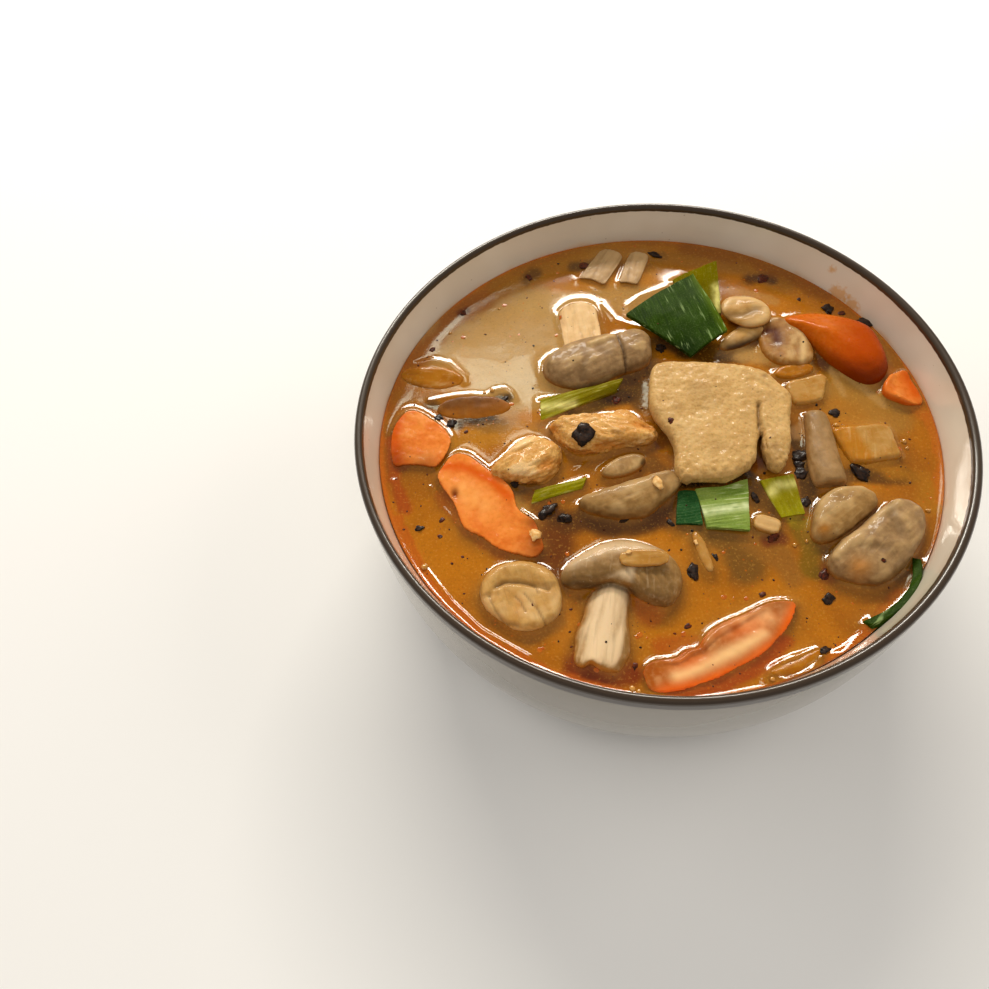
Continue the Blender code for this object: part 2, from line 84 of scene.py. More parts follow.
class Mask(Enum):
    """The marks that are painted on a topping, each with a colour of its finish: the topping's own marks, and also
    painted light and painted shade where noted.
    """

    PALE = "pale"
    WARM = "warm"
    DARK = "dark"


def colour(red: float, green: float, blue: float) -> Colour:
    """A colour from its screen values.

    Args:
        red, green, blue: from 0 to 255.

    Returns:
        The same colour in linear light.
    """
    parts = (red / 255, green / 255, blue / 255)
    return tuple(c / 12.92 if c <= 0.04045 else ((c + 0.055) / 1.055) ** 2.4 for c in parts)


# --- Hands: selecting, editing and finishing meshes ------------------------------------------------------


def pick(*pieces: bpy.types.Object) -> None:
    """Selects these pieces alone and makes the first of them active."""
    bpy.ops.object.select_all(action="DESELECT")
    for piece in pieces:
        piece.select_set(True)
    bpy.context.view_layer.objects.active = pieces[0]


@contextmanager
def editing(piece: bpy.types.Object, select: str = "SELECT") -> Iterator[None]:
    """Edit mode on one piece, with all of it selected, or nothing.

    Args:
        piece: the piece to edit.
        select: SELECT or DESELECT, what happens to all its points first.
    """
    pick(piece)
    bpy.ops.object.mode_set(mode="EDIT")
    bpy.ops.mesh.select_all(action=select)
    try:
        yield
    finally:
        bpy.ops.object.mode_set(mode="OBJECT")


def finish_with(piece: bpy.types.Object, kind: str, **settings: object) -> None:
    """Adds one modifier with its settings and applies it.

    Args:
        piece: the piece it works on.
        kind: Blender's name for the kind of modifier.
        settings: its settings by name.
    """
    pick(piece)
    modifier = piece.modifiers.new(kind.title(), kind)
    for name, value in settings.items():
        setattr(modifier, name, value)
    bpy.ops.object.modifier_apply(modifier=modifier.name)


def copy_of(node: str, name: str) -> bpy.types.Object:
    """A merged copy of a CAD node's mesh, as its own object.

    Args:
        node: the CAD node.
        name: the new piece's name.

    Returns:
        The new piece, which rides on nothing yet.
    """
    piece = bpy.data.objects.new(name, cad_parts[node].data.copy())
    bpy.context.scene.collection.objects.link(piece)
    piece.data.name = name
    piece.data.materials.clear()
    with editing(piece):
        bpy.ops.mesh.remove_doubles(threshold=0.002 * MM)
        bpy.ops.mesh.customdata_custom_splitnormals_clear()
        bpy.ops.mesh.tris_convert_to_quads()
    return piece


def hand_over(piece: bpy.types.Object, slot: Slot, material: bpy.types.Material, *nodes: str) -> None:
    """Gives a finished piece its material and its body, and hides the CAD nodes that it stands for.

    Args:
        piece: the finished piece.
        slot: the record's material slot; not used.
        material: its finish.
        nodes: the CAD nodes it replaces, if any.
    """
    piece.data.materials.clear()
    piece.data.materials.append(material)
    piece.data.shade_smooth()
    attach(piece, BODY)
    if nodes:
        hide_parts(*nodes)


# --- Natural irregularity ------------------------------------------------------------------------------


def scattered(cells: np.ndarray, seed: int) -> np.ndarray:
    """A fixed number from 0 to 1 for each whole-numbered cell.

    Args:
        cells: whole numbers, three to a row.
        seed: another seed gives other numbers.

    Returns:
        One number for each row.
    """
    cell = cells.astype(np.int64)
    mixed = cell[..., 0] * 374761393 + cell[..., 1] * 668265263 + cell[..., 2] * 2246822519 + seed * 1274126177
    mixed = (mixed ^ (mixed >> 13)) * 1103515245
    mixed = (mixed ^ (mixed >> 16)) * 12345677
    return ((mixed >> 8) & 0xFFFFFF) / float(0x1000000)


def cloud(points: np.ndarray, size: float, seed: int = 0, octaves: int = 3) -> np.ndarray:
    """Smooth lumpy noise.

    Args:
        points: places, three to a row.
        size: how far apart the largest lumps are.
        seed: another seed gives other lumps.
        octaves: how many ever finer layers are added.

    Returns:
        One number from about -1 to 1 for each place.
    """
    total, weight, full = np.zeros(len(points)), 1.0, 0.0
    for octave in range(octaves):
        place = points / size * 2**octave + 31.7
        base = np.floor(place)
        part = place - base
        part = part * part * (3 - 2 * part)
        value = np.zeros(len(points))
        for corner in product((0, 1), repeat=3):
            share = np.prod(np.where(np.array(corner, bool), part, 1 - part), axis=-1)
            value += share * scattered(base + np.array(corner), seed * 7 + octave)
        total += weight * (2 * value - 1)
        full += weight
        weight *= 0.5
    return total / full * 1.6


def pebbles(points: np.ndarray, size: float, seed: int = 0) -> np.ndarray:
    """How far each place is from the nearest of many scattered points.

    Args:
        points: places, three to a row.
        size: how far apart the scattered points are.
        seed: another seed gives other points.

    Returns:
        0 on a scattered point, rising to about 1 half way to the next.
    """
    place = points / size + 13.1
    base = np.floor(place)
    nearest = np.full(len(points), 9.0)
    for offset in product((-1, 0, 1), repeat=3):
        cell = base + np.array(offset)
        jitter = np.stack([scattered(cell, seed * 5 + k) for k in range(3)], axis=-1)
        nearest = np.minimum(nearest, np.linalg.norm(cell + jitter - place, axis=-1))
    return nearest


def eased(values: np.ndarray, low: float, high: float) -> np.ndarray:
    """0 below low, 1 above high, and a smooth step between them."""
    t = np.clip((values - low) / (high - low), 0.0, 1.0)
    return t * t * (3 - 2 * t)


def run_from(plan: np.ndarray, path: Sequence[Plan]) -> tuple[np.ndarray, np.ndarray]:
    """Measures flat places against a path.

    Args:
        plan: places, two to a row.
        path: the points that the path joins.

    Returns:
        Each place's distance from the path, and how far along it that is, from 0 to 1.
    """
    nearest = np.full(len(plan), 1e9)
    share = np.zeros(len(plan))
    points = np.array(path, float)
    lengths = np.linalg.norm(np.diff(points, axis=0), axis=1)
    start = 0.0
    for a, b, length in zip(points, points[1:], lengths):
        t = np.clip((plan - a) @ (b - a) / max(length**2, 1e-9), 0.0, 1.0)
        distance = np.linalg.norm(plan - (a + t[:, None] * (b - a)), axis=1)
        closer = distance < nearest
        nearest[closer] = distance[closer]
        share[closer] = ((start + t * length) / lengths.sum())[closer]
        start += length
    return nearest, share


class Skin:
    """The surface of one piece, sculpted and painted in millimetres from the middle of its plan.

    Heights are from the surface of the broth.
    """

    def __init__(self, piece: bpy.types.Object, middle: Plan) -> None:
        """Reads the piece.

        Args:
            piece: the piece, whose object stands at the origin.
            middle: the middle of its plan, in the frame.
        """
        self.piece = piece
        self.origin = np.array((middle[0], middle[1], LEVEL))
        count = len(piece.data.vertices)
        flat = np.empty(count * 3, np.float32)
        piece.data.vertices.foreach_get("co", flat)
        self.points = flat.reshape(-1, 3).astype(float) / MM - self.origin
        self.masks = {mask: np.zeros(count) for mask in Mask}
        self.fibres = self.points
        self.read_normals()

    @property
    def plan(self) -> np.ndarray:
        """The points seen from above."""
        return self.points[:, :2]

    @property
    def height(self) -> np.ndarray:
        """The points' heights above the broth."""
        return self.points[:, 2]

    @property
    def up(self) -> np.ndarray:
        """How far each point faces up: 1 is level, 0 is upright or facing down."""
        return np.clip(self.normals[:, 2], 0.0, 1.0)

    def read_normals(self) -> None:
        """Reads the normals again after the shape has changed."""
        self.store_points()
        flat = np.empty(len(self.points) * 3, np.float32)
        self.piece.data.vertices.foreach_get("normal", flat)
        self.normals = flat.reshape(-1, 3).astype(float)

    def store_points(self) -> None:
        """Writes the points back to the mesh."""
        flat = ((self.points + self.origin) * MM).astype(np.float32).ravel()
        self.piece.data.vertices.foreach_set("co", flat)
        self.piece.data.update()

    def push(self, amount: np.ndarray) -> None:
        """Moves the surface out along its normals by so much, or in where the amount is below 0."""
        self.points += self.normals * amount[:, None]

    def lift(self, amount: np.ndarray) -> None:
        """Moves the points straight up by so much."""
        self.points[:, 2] += amount

    def grab(self, x: float, y: float, reach: float, dx: float, dy: float) -> None:
        """Drags the surface round a place sideways by dx and dy, less and less out to the reach."""
        pull = self.spot(x, y, reach)
        self.points[:, 0] += pull * dx
        self.points[:, 1] += pull * dy

    def stroke(self, path: Sequence[Plan], width: float) -> np.ndarray:
        """A soft line along a path: 1 on it, fading out over the width."""
        return np.exp(-((run_from(self.plan, path)[0] / width) ** 2))

    def spot(self, x: float, y: float, length: float, width: float | None = None, turn: float = 0.0) -> np.ndarray:
        """A soft oval spot.

        Args:
            x, y: its middle.
            length: its half length.
            width: its half width, if it isn't round.
            turn: its turn in degrees.

        Returns:
            1 in its middle, fading out to its edge.
        """
        c, s = math.cos(math.radians(turn)), math.sin(math.radians(turn))
        dx, dy = self.plan[:, 0] - x, self.plan[:, 1] - y
        along, across = (c * dx + s * dy) / length, (c * dy - s * dx) / (width or length)
        return np.exp(-(along**2) - across**2)

    def beyond(self, a: Plan, b: Plan, soft: float) -> np.ndarray:
        """1 to the left of the line from a to b, 0 to its right, with a soft edge."""
        along = np.array(b, float) - np.array(a, float)
        side = np.array((-along[1], along[0])) / np.linalg.norm(along)
        return eased((self.plan - np.array(a)) @ side, -soft, soft)

    def grain(self, direction: float, stretch: float) -> np.ndarray:
        """The points drawn together along a direction in plan, so that noise on them turns into fibres.

        Args:
            direction: the fibres' direction in degrees.
            stretch: how many times longer than wide the fibres are.

        Returns:
            The points to give to a noise.
        """
        c, s = math.cos(math.radians(direction)), math.sin(math.radians(direction))
        along = self.points[:, 0] * c + self.points[:, 1] * s
        across = self.points[:, 1] * c - self.points[:, 0] * s
        return np.stack([along / stretch, across, self.points[:, 2]], axis=-1)

    def paint(self, mask: Mask, amount: np.ndarray) -> None:
        """Adds to a mask, where it isn't already stronger."""
        self.masks[mask] = np.clip(np.maximum(self.masks[mask], amount), 0.0, 1.0)

    def store(self) -> None:
        """Writes the points and the masks to the mesh."""
        self.store_points()
        for mask, amount in self.masks.items():
            layer = self.piece.data.attributes.new(mask.value, "FLOAT", "POINT")
            layer.data.foreach_set("value", amount.astype(np.float32))
        layer = self.piece.data.attributes.new("fibre", "FLOAT_VECTOR", "POINT")
        layer.data.foreach_set("vector", (self.fibres * MM).astype(np.float32).ravel())


# --- Shader maths --------------------------------------------------------------------------------------


class Value:
    """A number, colour or vector in a material's nodes, which takes arithmetic as numbers do."""

    def __init__(self, graph: "Graph", socket: bpy.types.NodeSocket) -> None:
        """Wraps an output socket of a graph."""
        self.graph, self.socket = graph, socket

    def maths(self, operation: str, first: object, second: object) -> "Value":
        """One Math node on two values."""
        return self.graph.node("ShaderNodeMath", {"operation": operation}, {0: first, 1: second})

    def __add__(self, other: object) -> "Value":
        """Sum."""
        return self.maths("ADD", self, other)

    __radd__ = __add__

    def __sub__(self, other: object) -> "Value":
        """Difference."""
        return self.maths("SUBTRACT", self, other)

    def __rsub__(self, other: object) -> "Value":
        """Difference from a number."""
        return self.maths("SUBTRACT", other, self)

    def __mul__(self, other: object) -> "Value":
        """Product."""
        return self.maths("MULTIPLY", self, other)

    __rmul__ = __mul__

    def __truediv__(self, other: object) -> "Value":
        """Quotient."""
        return self.maths("DIVIDE", self, other)

    def __pow__(self, other: object) -> "Value":
        """Power."""
        return self.maths("POWER", self, other)

    def least(self, other: object) -> "Value":
        """The smaller of two."""
        return self.maths("MINIMUM", self, other)

    def most(self, other: object) -> "Value":
        """The larger of two."""
        return self.maths("MAXIMUM", self, other)


class Graph:
    """The nodes of one material, with a Principled shader as its end."""

    def __init__(self, name: str) -> None:
        """Makes the material."""
        self.material = bpy.data.materials.new(name)
        self.material.use_nodes = True
        self.tree = self.material.node_tree
        self.shader = self.tree.nodes["Principled BSDF"]
        self.place = self.node("ShaderNodeTexCoord", output="Object")

    def node(
        self,
        kind: str,
        settings: dict[str, object] | None = None,
        inputs: dict[int | str, object] | None = None,
        output: int | str = 0,
    ) -> Value:
        """Adds one node.

        Args:
            kind: its type.
            settings: its own settings, which are set first.
            inputs: a value or a link for each socket, by name or number.
            output: the output that is wanted.

        Returns:
            That output.
        """
        made = self.tree.nodes.new(kind)
        for name, value in (settings or {}).items():
            setattr(made, name, value)
        for name, value in (inputs or {}).items():
            self.feed(made.inputs[name], value)
        return Value(self, made.outputs[output])

    def feed(self, socket: bpy.types.NodeSocket, value: object) -> None:
        """Links a value to a socket, or sets a constant on it."""
        if isinstance(value, Value):
            self.tree.links.new(value.socket, socket)
        elif isinstance(value, tuple) and socket.type == "RGBA":
            socket.default_value = (*value, 1.0)
        else:
            socket.default_value = value

    def attribute(self, name: str, output: str = "Fac") -> Value:
        """An attribute that is painted on the mesh."""
        return self.node("ShaderNodeAttribute", {"attribute_name": name}, output=output)

    def noise(self, size: float, detail: float = 2.0, stretch: Colour | None = None, warp: float = 0.0) -> Value:
        """Noise in the piece's own space.

        Args:
            size: the size of its lumps.
            detail: how many finer layers it has.
            stretch: how much its scale is multiplied along x, y and z.
            warp: its distortion.

        Returns:
            A number around 0.5.
        """
        place = self.place
        if stretch:
            place = self.node("ShaderNodeMapping", None, {"Vector": place, "Scale": stretch})
        inputs = {"Vector": place, "Scale": 1 / (size * MM), "Detail": detail, "Distortion": warp}
        return self.node("ShaderNodeTexNoise", None, inputs)

    def fibres(self, size: float) -> Value:
        """Noise drawn out along the piece's fibres, whose width is given."""
        inputs = {"Vector": self.attribute("fibre", "Vector"), "Scale": 1 / (size * MM), "Detail": 2.0}
        return self.node("ShaderNodeTexNoise", None, inputs)

    def speckle(self, size: float, feature: str = "F1", randomness: float = 1.0) -> Value:
        """Distance to the nearest of many scattered points in the piece's own space."""
        inputs = {"Vector": self.place, "Scale": 1 / (size * MM), "Randomness": randomness}
        return self.node("ShaderNodeTexVoronoi", {"feature": feature}, inputs, "Distance")

    def step(self, value: Value, low: float, high: float) -> Value:
        """0 below low, 1 above high, smooth between; the other way round if low is the larger."""
        settings = {"interpolation_type": "SMOOTHSTEP"}
        if low <= high:
            return self.node("ShaderNodeMapRange", settings, {"Value": value, "From Min": low, "From Max": high})
        inputs = {"Value": value, "From Min": high, "From Max": low, "To Min": 1.0, "To Max": 0.0}
        return self.node("ShaderNodeMapRange", settings, inputs)

    def mix(self, factor: object, first: object, second: object, blend: str = "MIX") -> Value:
        """Two colours mixed by a factor."""
        settings = {"data_type": "RGBA", "blend_type": blend, "clamp_factor": True}
        return self.node("ShaderNodeMix", settings, {0: factor, 6: first, 7: second}, 2)

    def height(self) -> Value:
        """Height above the surface of the broth, in millimetres."""
        z = self.node("ShaderNodeSeparateXYZ", None, {0: self.place}, "Z")
        return z / MM - LEVEL

    def relief(self, height: Value, depth: float, strength: float = 1.0, under: Value | None = None) -> Value:
        """A Bump node.

        Args:
            height: the relief, from 0 to 1.
            depth: how deep that is.
            strength: how much of it shows.
            under: another relief that it lies on.

        Returns:
            The normal.
        """
        inputs = {"Height": height, "Distance": depth * MM, "Strength": strength}
        if under:
            inputs["Normal"] = under
        return self.node("ShaderNodeBump", None, inputs)

    def close(self, **inputs: object) -> bpy.types.Material:
        """Feeds the Principled shader.

        Args:
            inputs: its sockets by name, with _ for a space.

        Returns:
            The finished material.
        """
        for name, value in inputs.items():
            self.feed(self.shader.inputs[name.replace("_", " ")], value)
        return self.material


# --- Finishes ------------------------------------------------------------------------------------------


@dataclass(frozen=True)
class Food:
    """A cooked, moist surface. It takes the colour of the broth where it goes under."""

    name: str
    base: Colour
    mottle: Colour
    pale: Colour
    warm: Colour
    dark: Colour
    mottle_size: float = 5.0
    mottle_share: float = 0.7
    grain_size: float = 0.9
    grain_depth: float = 0.12
    grain_tone: float = 0.25
    fibre: float = 0.0  # width of its fibres, 0 for none
    fibre_tone: float = 0.3
    fibre_depth: float = 0.1
    roughness: float = 0.42
    wetness: float = 0.2
    sheen: float = 0.2
    glow: float = 0.15
    glow_reach: float = 1.2
    soak: Colour = colour(160, 92, 4)
    soak_top: float = 2.4
    soak_bottom: float = -0.4

    def material(self) -> bpy.types.Material:
        """Builds the material, or finds it if it has been built.

        Returns:
            The material.
        """
        if self.name in bpy.data.materials:
            return bpy.data.materials[self.name]
        graph = Graph(self.name)
        broad = graph.step(graph.noise(self.mottle_size, 3.0), 0.38, 0.62)
        fine = graph.noise(self.grain_size, 3.0)
        tone = graph.mix(broad * self.mottle_share, self.base, self.mottle)
        tone = graph.mix(graph.step(fine, 0.5, 0.72) * self.grain_tone, tone, self.pale)
        tone = graph.mix(graph.step(fine, 0.5, 0.3) * self.grain_tone, tone, self.dark)
        # the masks bring in the topping's own marks and, where noted, its painted light and painted shade
        for mask in Mask:
            tone = graph.mix(graph.attribute(mask.value), tone, getattr(self, mask.value))
        normal = graph.relief(fine, self.grain_depth)
        if self.fibre:
            strands = graph.fibres(self.fibre)
            patches = graph.step(graph.noise(self.mottle_size * 1.3), 0.4, 0.6) * self.fibre_tone
            tone = graph.mix(graph.step(strands, 0.56, 0.7) * patches, tone, self.pale)
            tone = graph.mix(graph.step(strands, 0.44, 0.3) * self.fibre_tone * 0.7, tone, self.dark)
            normal = graph.relief(strands, self.fibre_depth, under=normal)
        wet_edge = graph.height() + (graph.noise(3.0) - 0.5) * 1.2
        tone = graph.mix(graph.step(wet_edge, self.soak_top, self.soak_bottom), tone, self.soak)
        return graph.close(
            Base_Color=tone,
            Roughness=self.roughness + (fine - 0.5) * 0.3,
            Normal=normal,
            Coat_Weight=self.wetness,
            Coat_Roughness=0.08,
            Specular_IOR_Level=self.sheen,
            Subsurface_Weight=self.glow,
            Subsurface_Radius=(1.0, 0.45, 0.2),
            Subsurface_Scale=self.glow_reach * MM,
        )


CHICKEN = Food(
    name="poached chicken",
    base=colour(204, 162, 98),
    mottle=colour(190, 146, 82),
    pale=colour(214, 180, 124),
    warm=colour(196, 122, 30),
    dark=colour(112, 78, 38),
    grain_size=0.8,
    grain_depth=0.16,
    grain_tone=0.25,
    roughness=0.55,
    wetness=0.12,
)
CHICKEN_GOLD = replace(
    CHICKEN,
    name="golden chicken",
    base=colour(214, 160, 84),
    mottle=colour(200, 138, 60),
    pale=colour(244, 210, 154),
    warm=colour(200, 116, 24),
    dark=colour(140, 82, 22),
    wetness=0.25,
    fibre=0.8,
    fibre_tone=0.32,
    fibre_depth=0.18,
)
MUSHROOM = Food(
    name="cooked mushroom",
    base=colour(158, 119, 66),
    mottle=colour(132, 96, 48),
    pale=colour(206, 170, 114),
    warm=colour(184, 112, 20),
    dark=colour(70, 46, 22),
    grain_size=1.5,
    grain_depth=0.1,
    grain_tone=0.16,
    roughness=0.5,
    wetness=0.16,
    mottle_size=3.5,
    fibre=1.1,
    fibre_tone=0.18,
    fibre_depth=0.06,
)
MUSHROOM_GREY = replace(
    MUSHROOM, name="grey mushroom cap", base=colour(156, 122, 80), mottle=colour(130, 98, 60)
)
MUSHROOM_CREAM = replace(
    MUSHROOM, name="cream mushroom", base=colour(192, 147, 80), mottle=colour(176, 126, 58), soak_top=1.8,
    pale=colour(210, 172, 116),
)
MUSHROOM_STEM = replace(
    MUSHROOM,
    name="mushroom stem",
    base=colour(156, 119, 74),
    mottle=colour(136, 102, 58),
    pale=colour(192, 156, 108),
    wetness=0.04,
    soak_top=1.2,
)
STEM_CREAM = replace(
    MUSHROOM_STEM, name="cream stem", base=colour(206, 162, 98), mottle=colour(192, 144, 76), pale=colour(226, 190, 138)
)
MUSHROOM_SUNK = replace(
    MUSHROOM, name="sunk mushroom", base=colour(104, 62, 22), mottle=colour(70, 36, 8), pale=colour(150, 108, 56)
)
TOMATO = Food(
    name="ripe tomato",
    base=colour(198, 98, 6),
    mottle=colour(188, 86, 4),
    pale=colour(236, 160, 92),
    warm=colour(172, 66, 0),
    dark=colour(104, 32, 0),
    mottle_size=3.5,
    grain_size=1.2,
    grain_depth=0.08,
    grain_tone=0.12,
    roughness=0.3,
    wetness=0.15,
    sheen=0.06,
    glow=0.2,
    soak=colour(140, 50, 2),
    soak_top=0.9,
    soak_bottom=-0.6,
)
TOMATO_FLESH = replace(
    TOMATO,
    name="tomato flesh",
    base=colour(226, 130, 50),
    mottle=colour(212, 104, 30),
    pale=colour(240, 164, 86),
    warm=colour(208, 88, 10),
    dark=colour(112, 40, 2),
    grain_depth=0.04,
    grain_tone=0.1,
    mottle_size=4.5,
    soak=colour(156, 62, 4),
)
TOMATO_PULP = replace(
    TOMATO_FLESH,
    name="tomato pulp",
    base=colour(162, 90, 30),
    mottle=colour(148, 74, 20),
    pale=colour(242, 198, 136),
    warm=colour(222, 92, 8),
    dark=colour(150, 52, 8),
    wetness=0.3,
    soak=colour(150, 58, 4),
)
LEEK = Food(
    name="green leek",
    base=colour(42, 66, 2),
    mottle=colour(30, 50, 0),
    pale=colour(150, 172, 110),
    warm=colour(84, 104, 14),
    dark=colour(12, 30, 2),
    mottle_size=8.0,
    grain_size=0.5,
    grain_depth=0.03,
    grain_tone=0.1,
    roughness=0.45,
    wetness=0.0,
    sheen=0.04,
    glow=0.05,
    soak=colour(70, 60, 6),
    soak_top=0.2,
    fibre=0.85,
    fibre_tone=0.65,
    fibre_depth=0.12,
)
HEART = replace(
    LEEK,
    name="leek heart",
    base=colour(138, 130, 2),
    mottle=colour(122, 110, 0),
    pale=colour(216, 206, 120),
    warm=colour(130, 96, 4),
    dark=colour(84, 64, 2),
    glow=0.15,
    soak=colour(150, 106, 8),
    fibre_tone=0.35,
    sheen=0.06,
)
ONION = Food(
    name="softened onion",
    base=colour(184, 138, 72),
    mottle=colour(170, 116, 40),
    pale=colour(212, 176, 118),
    warm=colour(178, 112, 12),
    dark=colour(110, 66, 12),
    grain_size=1.5,
    grain_depth=0.03,
    grain_tone=0.08,
    roughness=0.25,
    wetness=0.2,
    glow=0.4,
    soak_top=1.0,
    fibre=1.2,
    fibre_tone=0.25,
    fibre_depth=0.04,
)
MUSHROOM_TAN = replace(
    MUSHROOM,
    name="tan mushroom slice",
    base=colour(160, 110, 48),
    mottle=colour(138, 88, 28),
    pale=colour(214, 178, 120),
    dark=colour(84, 36, 10),
)
MUSHROOM_BROAD = replace(MUSHROOM, name="broad mushroom", pale=colour(222, 192, 150))
LEEK_OLIVE = replace(
    HEART, name="olive leek", base=colour(104, 94, 0), mottle=colour(96, 84, 0), fibre_tone=0.12,
    sheen=0.0,
)
ONION_AMBER = replace(ONION, name="amber onion", base=colour(172, 108, 14), mottle=colour(156, 92, 6))


@dataclass(frozen=True)
class Glaze:
    """Off-white glaze with a dark band on the lip, a film of broth above the broth line, and painted shade on the
    outside.
    """

    clay: Colour = colour(232, 221, 202)
    shade: Colour = colour(224, 211, 190)
    # painted shade: the outside and the underside, glazed as the inside, take this darker tone
    outer: Colour = colour(144, 135, 120)
    band: Colour = colour(58, 43, 28)
    film: Colour = colour(216, 160, 80)
    speck: Colour = colour(160, 136, 112)
    band_inside: float = 0.5  # how far the band reaches down from the lip's middle on the inside
    band_outside: float = 2.7

    def material(self, lip_height: float, lip_radius: float) -> bpy.types.Material:
        """Builds the material.

        Args:
            lip_height: height of the middle of the lip above the broth.
            lip_radius: its distance from the bowl's axis.

        Returns:
            The material.
        """
        graph = Graph("bowl glaze")
        x, y = (graph.node("ShaderNodeSeparateXYZ", None, {0: graph.place}, axis) for axis in "XY")
        radius = (x * x + y * y) ** 0.5 / MM
        height = graph.height() + (graph.noise(2.5) - 0.5) * 0.5
        outside = graph.step(radius, lip_radius - 0.3, lip_radius + 0.3)
        edge = lip_height - self.band_inside - outside * (self.band_outside - self.band_inside)
        band = graph.step(height - edge, -0.12, 0.12)
        tone = graph.mix(graph.step(graph.noise(26.0, 2.0), 0.35, 0.65), self.clay, self.shade)
        facing = graph.attribute("outside")
        # painted shade over the outside and the underside
        tone = graph.mix(facing, tone, self.outer)
        specks = graph.step(graph.speckle(5.0), 0.07, 0.03) * 0.5
        tone = graph.mix(specks, tone, self.speck)
        wave = (graph.noise(9.0, 2.0) - 0.5) * 5.0
        wetted = graph.step(height - wave, 2.6, -0.4) * (1.0 - facing)
        tone = graph.mix(wetted * 0.5, tone, self.film)
        for px, py, pz, reach in ((71.6, 49.7, 8.6, 2.0), (72.8, 43.6, 2.4, 4.2), (75.5, 38.5, 2.0, 3.6)):
            spot = self.spot(graph, (px, py, pz + LEVEL), reach)
            tone = graph.mix(spot * 0.7, tone, self.film)
        tone = graph.mix(band, tone, self.band)
        return graph.close(
            Base_Color=tone,
            Roughness=0.22 + band * 0.1,
            Normal=graph.relief(graph.noise(14.0, 2.0), 0.12),
            Coat_Weight=0.6,
            Coat_Roughness=0.06,
        )

    def spot(self, graph: Graph, place: Colour, reach: float) -> Value:
        """A ragged spot of dried broth."""
        at = tuple(p * MM for p in place)
        distance = graph.node("ShaderNodeVectorMath", {"operation": "DISTANCE"}, {0: graph.place, 1: at}, "Value")
        ragged = distance / MM + (graph.noise(1.6, 3.0) - 0.5) * reach * 1.6
        return graph.step(ragged, reach, reach * 0.4)


@dataclass(frozen=True)
class BrothFinish:
    """Amber broth: painted shade round and in front of the toppings, red oil by the wall, and what is sunk showing
    through, laid on with painted shadows and a painted milky reflection.
    """

    gold: Colour = colour(177, 106, 0)
    amber: Colour = colour(156, 90, 0)
    # colour of the painted shade, also used for the dark grain
    painted_shade: Colour = colour(96, 58, 4)
    oil: Colour = colour(188, 94, 2)
    halo: Colour = colour(184, 128, 48)

    def material(self) -> bpy.types.Material:
        """Builds the material.

        Returns:
            The material.
        """
        graph = Graph("broth surface")
        drift = graph.step(graph.noise(22.0, 3.0, warp=0.6), 0.36, 0.64)
        fine = graph.noise(0.7, 3.0)
        tone = graph.mix(drift, self.gold, self.amber)
        # painted shade round the toppings, in front of them and towards the far side
        tone = graph.mix(graph.attribute("painted_shade"), tone, self.painted_shade)
        ragged = graph.attribute("oil") + (graph.noise(3.0, 3.0) - 0.5) * 0.5
        tone = graph.mix(graph.step(ragged, 0.3, 0.85), tone, self.oil)
        # the sunk layer: sunk things' colours, and also painted shadows and a painted milky reflection
        tone = graph.mix(graph.attribute("sunk", "Alpha"), tone, graph.attribute("sunk", "Color"))
        tone = graph.mix(graph.attribute("halo"), tone, self.halo)
        drops = graph.step(graph.speckle(2.4), 0.16, 0.1) * graph.step(graph.noise(12.0, 1.0), 0.45, 0.6)
        tone = graph.mix(drops * 0.55, tone, self.oil)
        tone = graph.mix(graph.step(fine, 0.55, 0.72) * 0.22, tone, colour(214, 156, 62))
        # dark grain, in the painted shade's colour
        tone = graph.mix(graph.step(fine, 0.45, 0.28) * 0.25, tone, self.painted_shade)
        grain = graph.relief(graph.noise(0.6, 2.0), 0.025)
        return graph.close(
            Base_Color=tone,
            Roughness=0.06,
            IOR=1.45,
            Normal=graph.relief(graph.noise(7.0, 2.0), 0.05, under=grain),
            Coat_Weight=0.3,
            Coat_Roughness=0.02,
            Subsurface_Weight=0.15,
            Subsurface_Radius=(1.0, 0.4, 0.1),
            Subsurface_Scale=2.0 * MM,
        )


@dataclass(frozen=True)
class Plain:
    """One small thing's finish: a colour with a darker mottle, glossy where it is wet."""

    name: str
    tone: Colour
    shade: Colour
    size: float = 1.0
    roughness: float = 0.3
    wetness: float = 0.6
    sheen: float = 0.5

    def material(self) -> bpy.types.Material:
        """Builds the material.

        Returns:
            The material.
        """
        graph = Graph(self.name)
        mottle = graph.noise(self.size, 3.0)
        return graph.close(
            Base_Color=graph.mix(graph.step(mottle, 0.35, 0.65), self.tone, self.shade),
            Roughness=self.roughness,
            Normal=graph.relief(mottle, 0.08),
            Coat_Weight=self.wetness,
            Coat_Roughness=0.08,
            Specular_IOR_Level=self.sheen,
        )


CHILLI_FLAKE = Plain("toasted chilli flake", colour(48, 28, 14), colour(18, 10, 6), 0.8, 0.5, 0.15, 0.25)
RED_SPECK = Plain("chilli speck", colour(96, 34, 4), colour(44, 16, 4), 0.6, 0.4, 0.1, 0.3)
CRUMB = Plain("garlic crumb", colour(240, 196, 128), colour(224, 166, 88), 1.2, 0.45, 0.4)
OIL = Plain("chilli oil", colour(184, 98, 2), colour(170, 80, 1), 2.0, 0.08, 0.5)
BUBBLE = Plain("broth bubble", colour(196, 140, 60), colour(176, 116, 30), 2.0, 0.05, 1.0)


# --- Bowl ----------------------------------------------------------------------------------------------


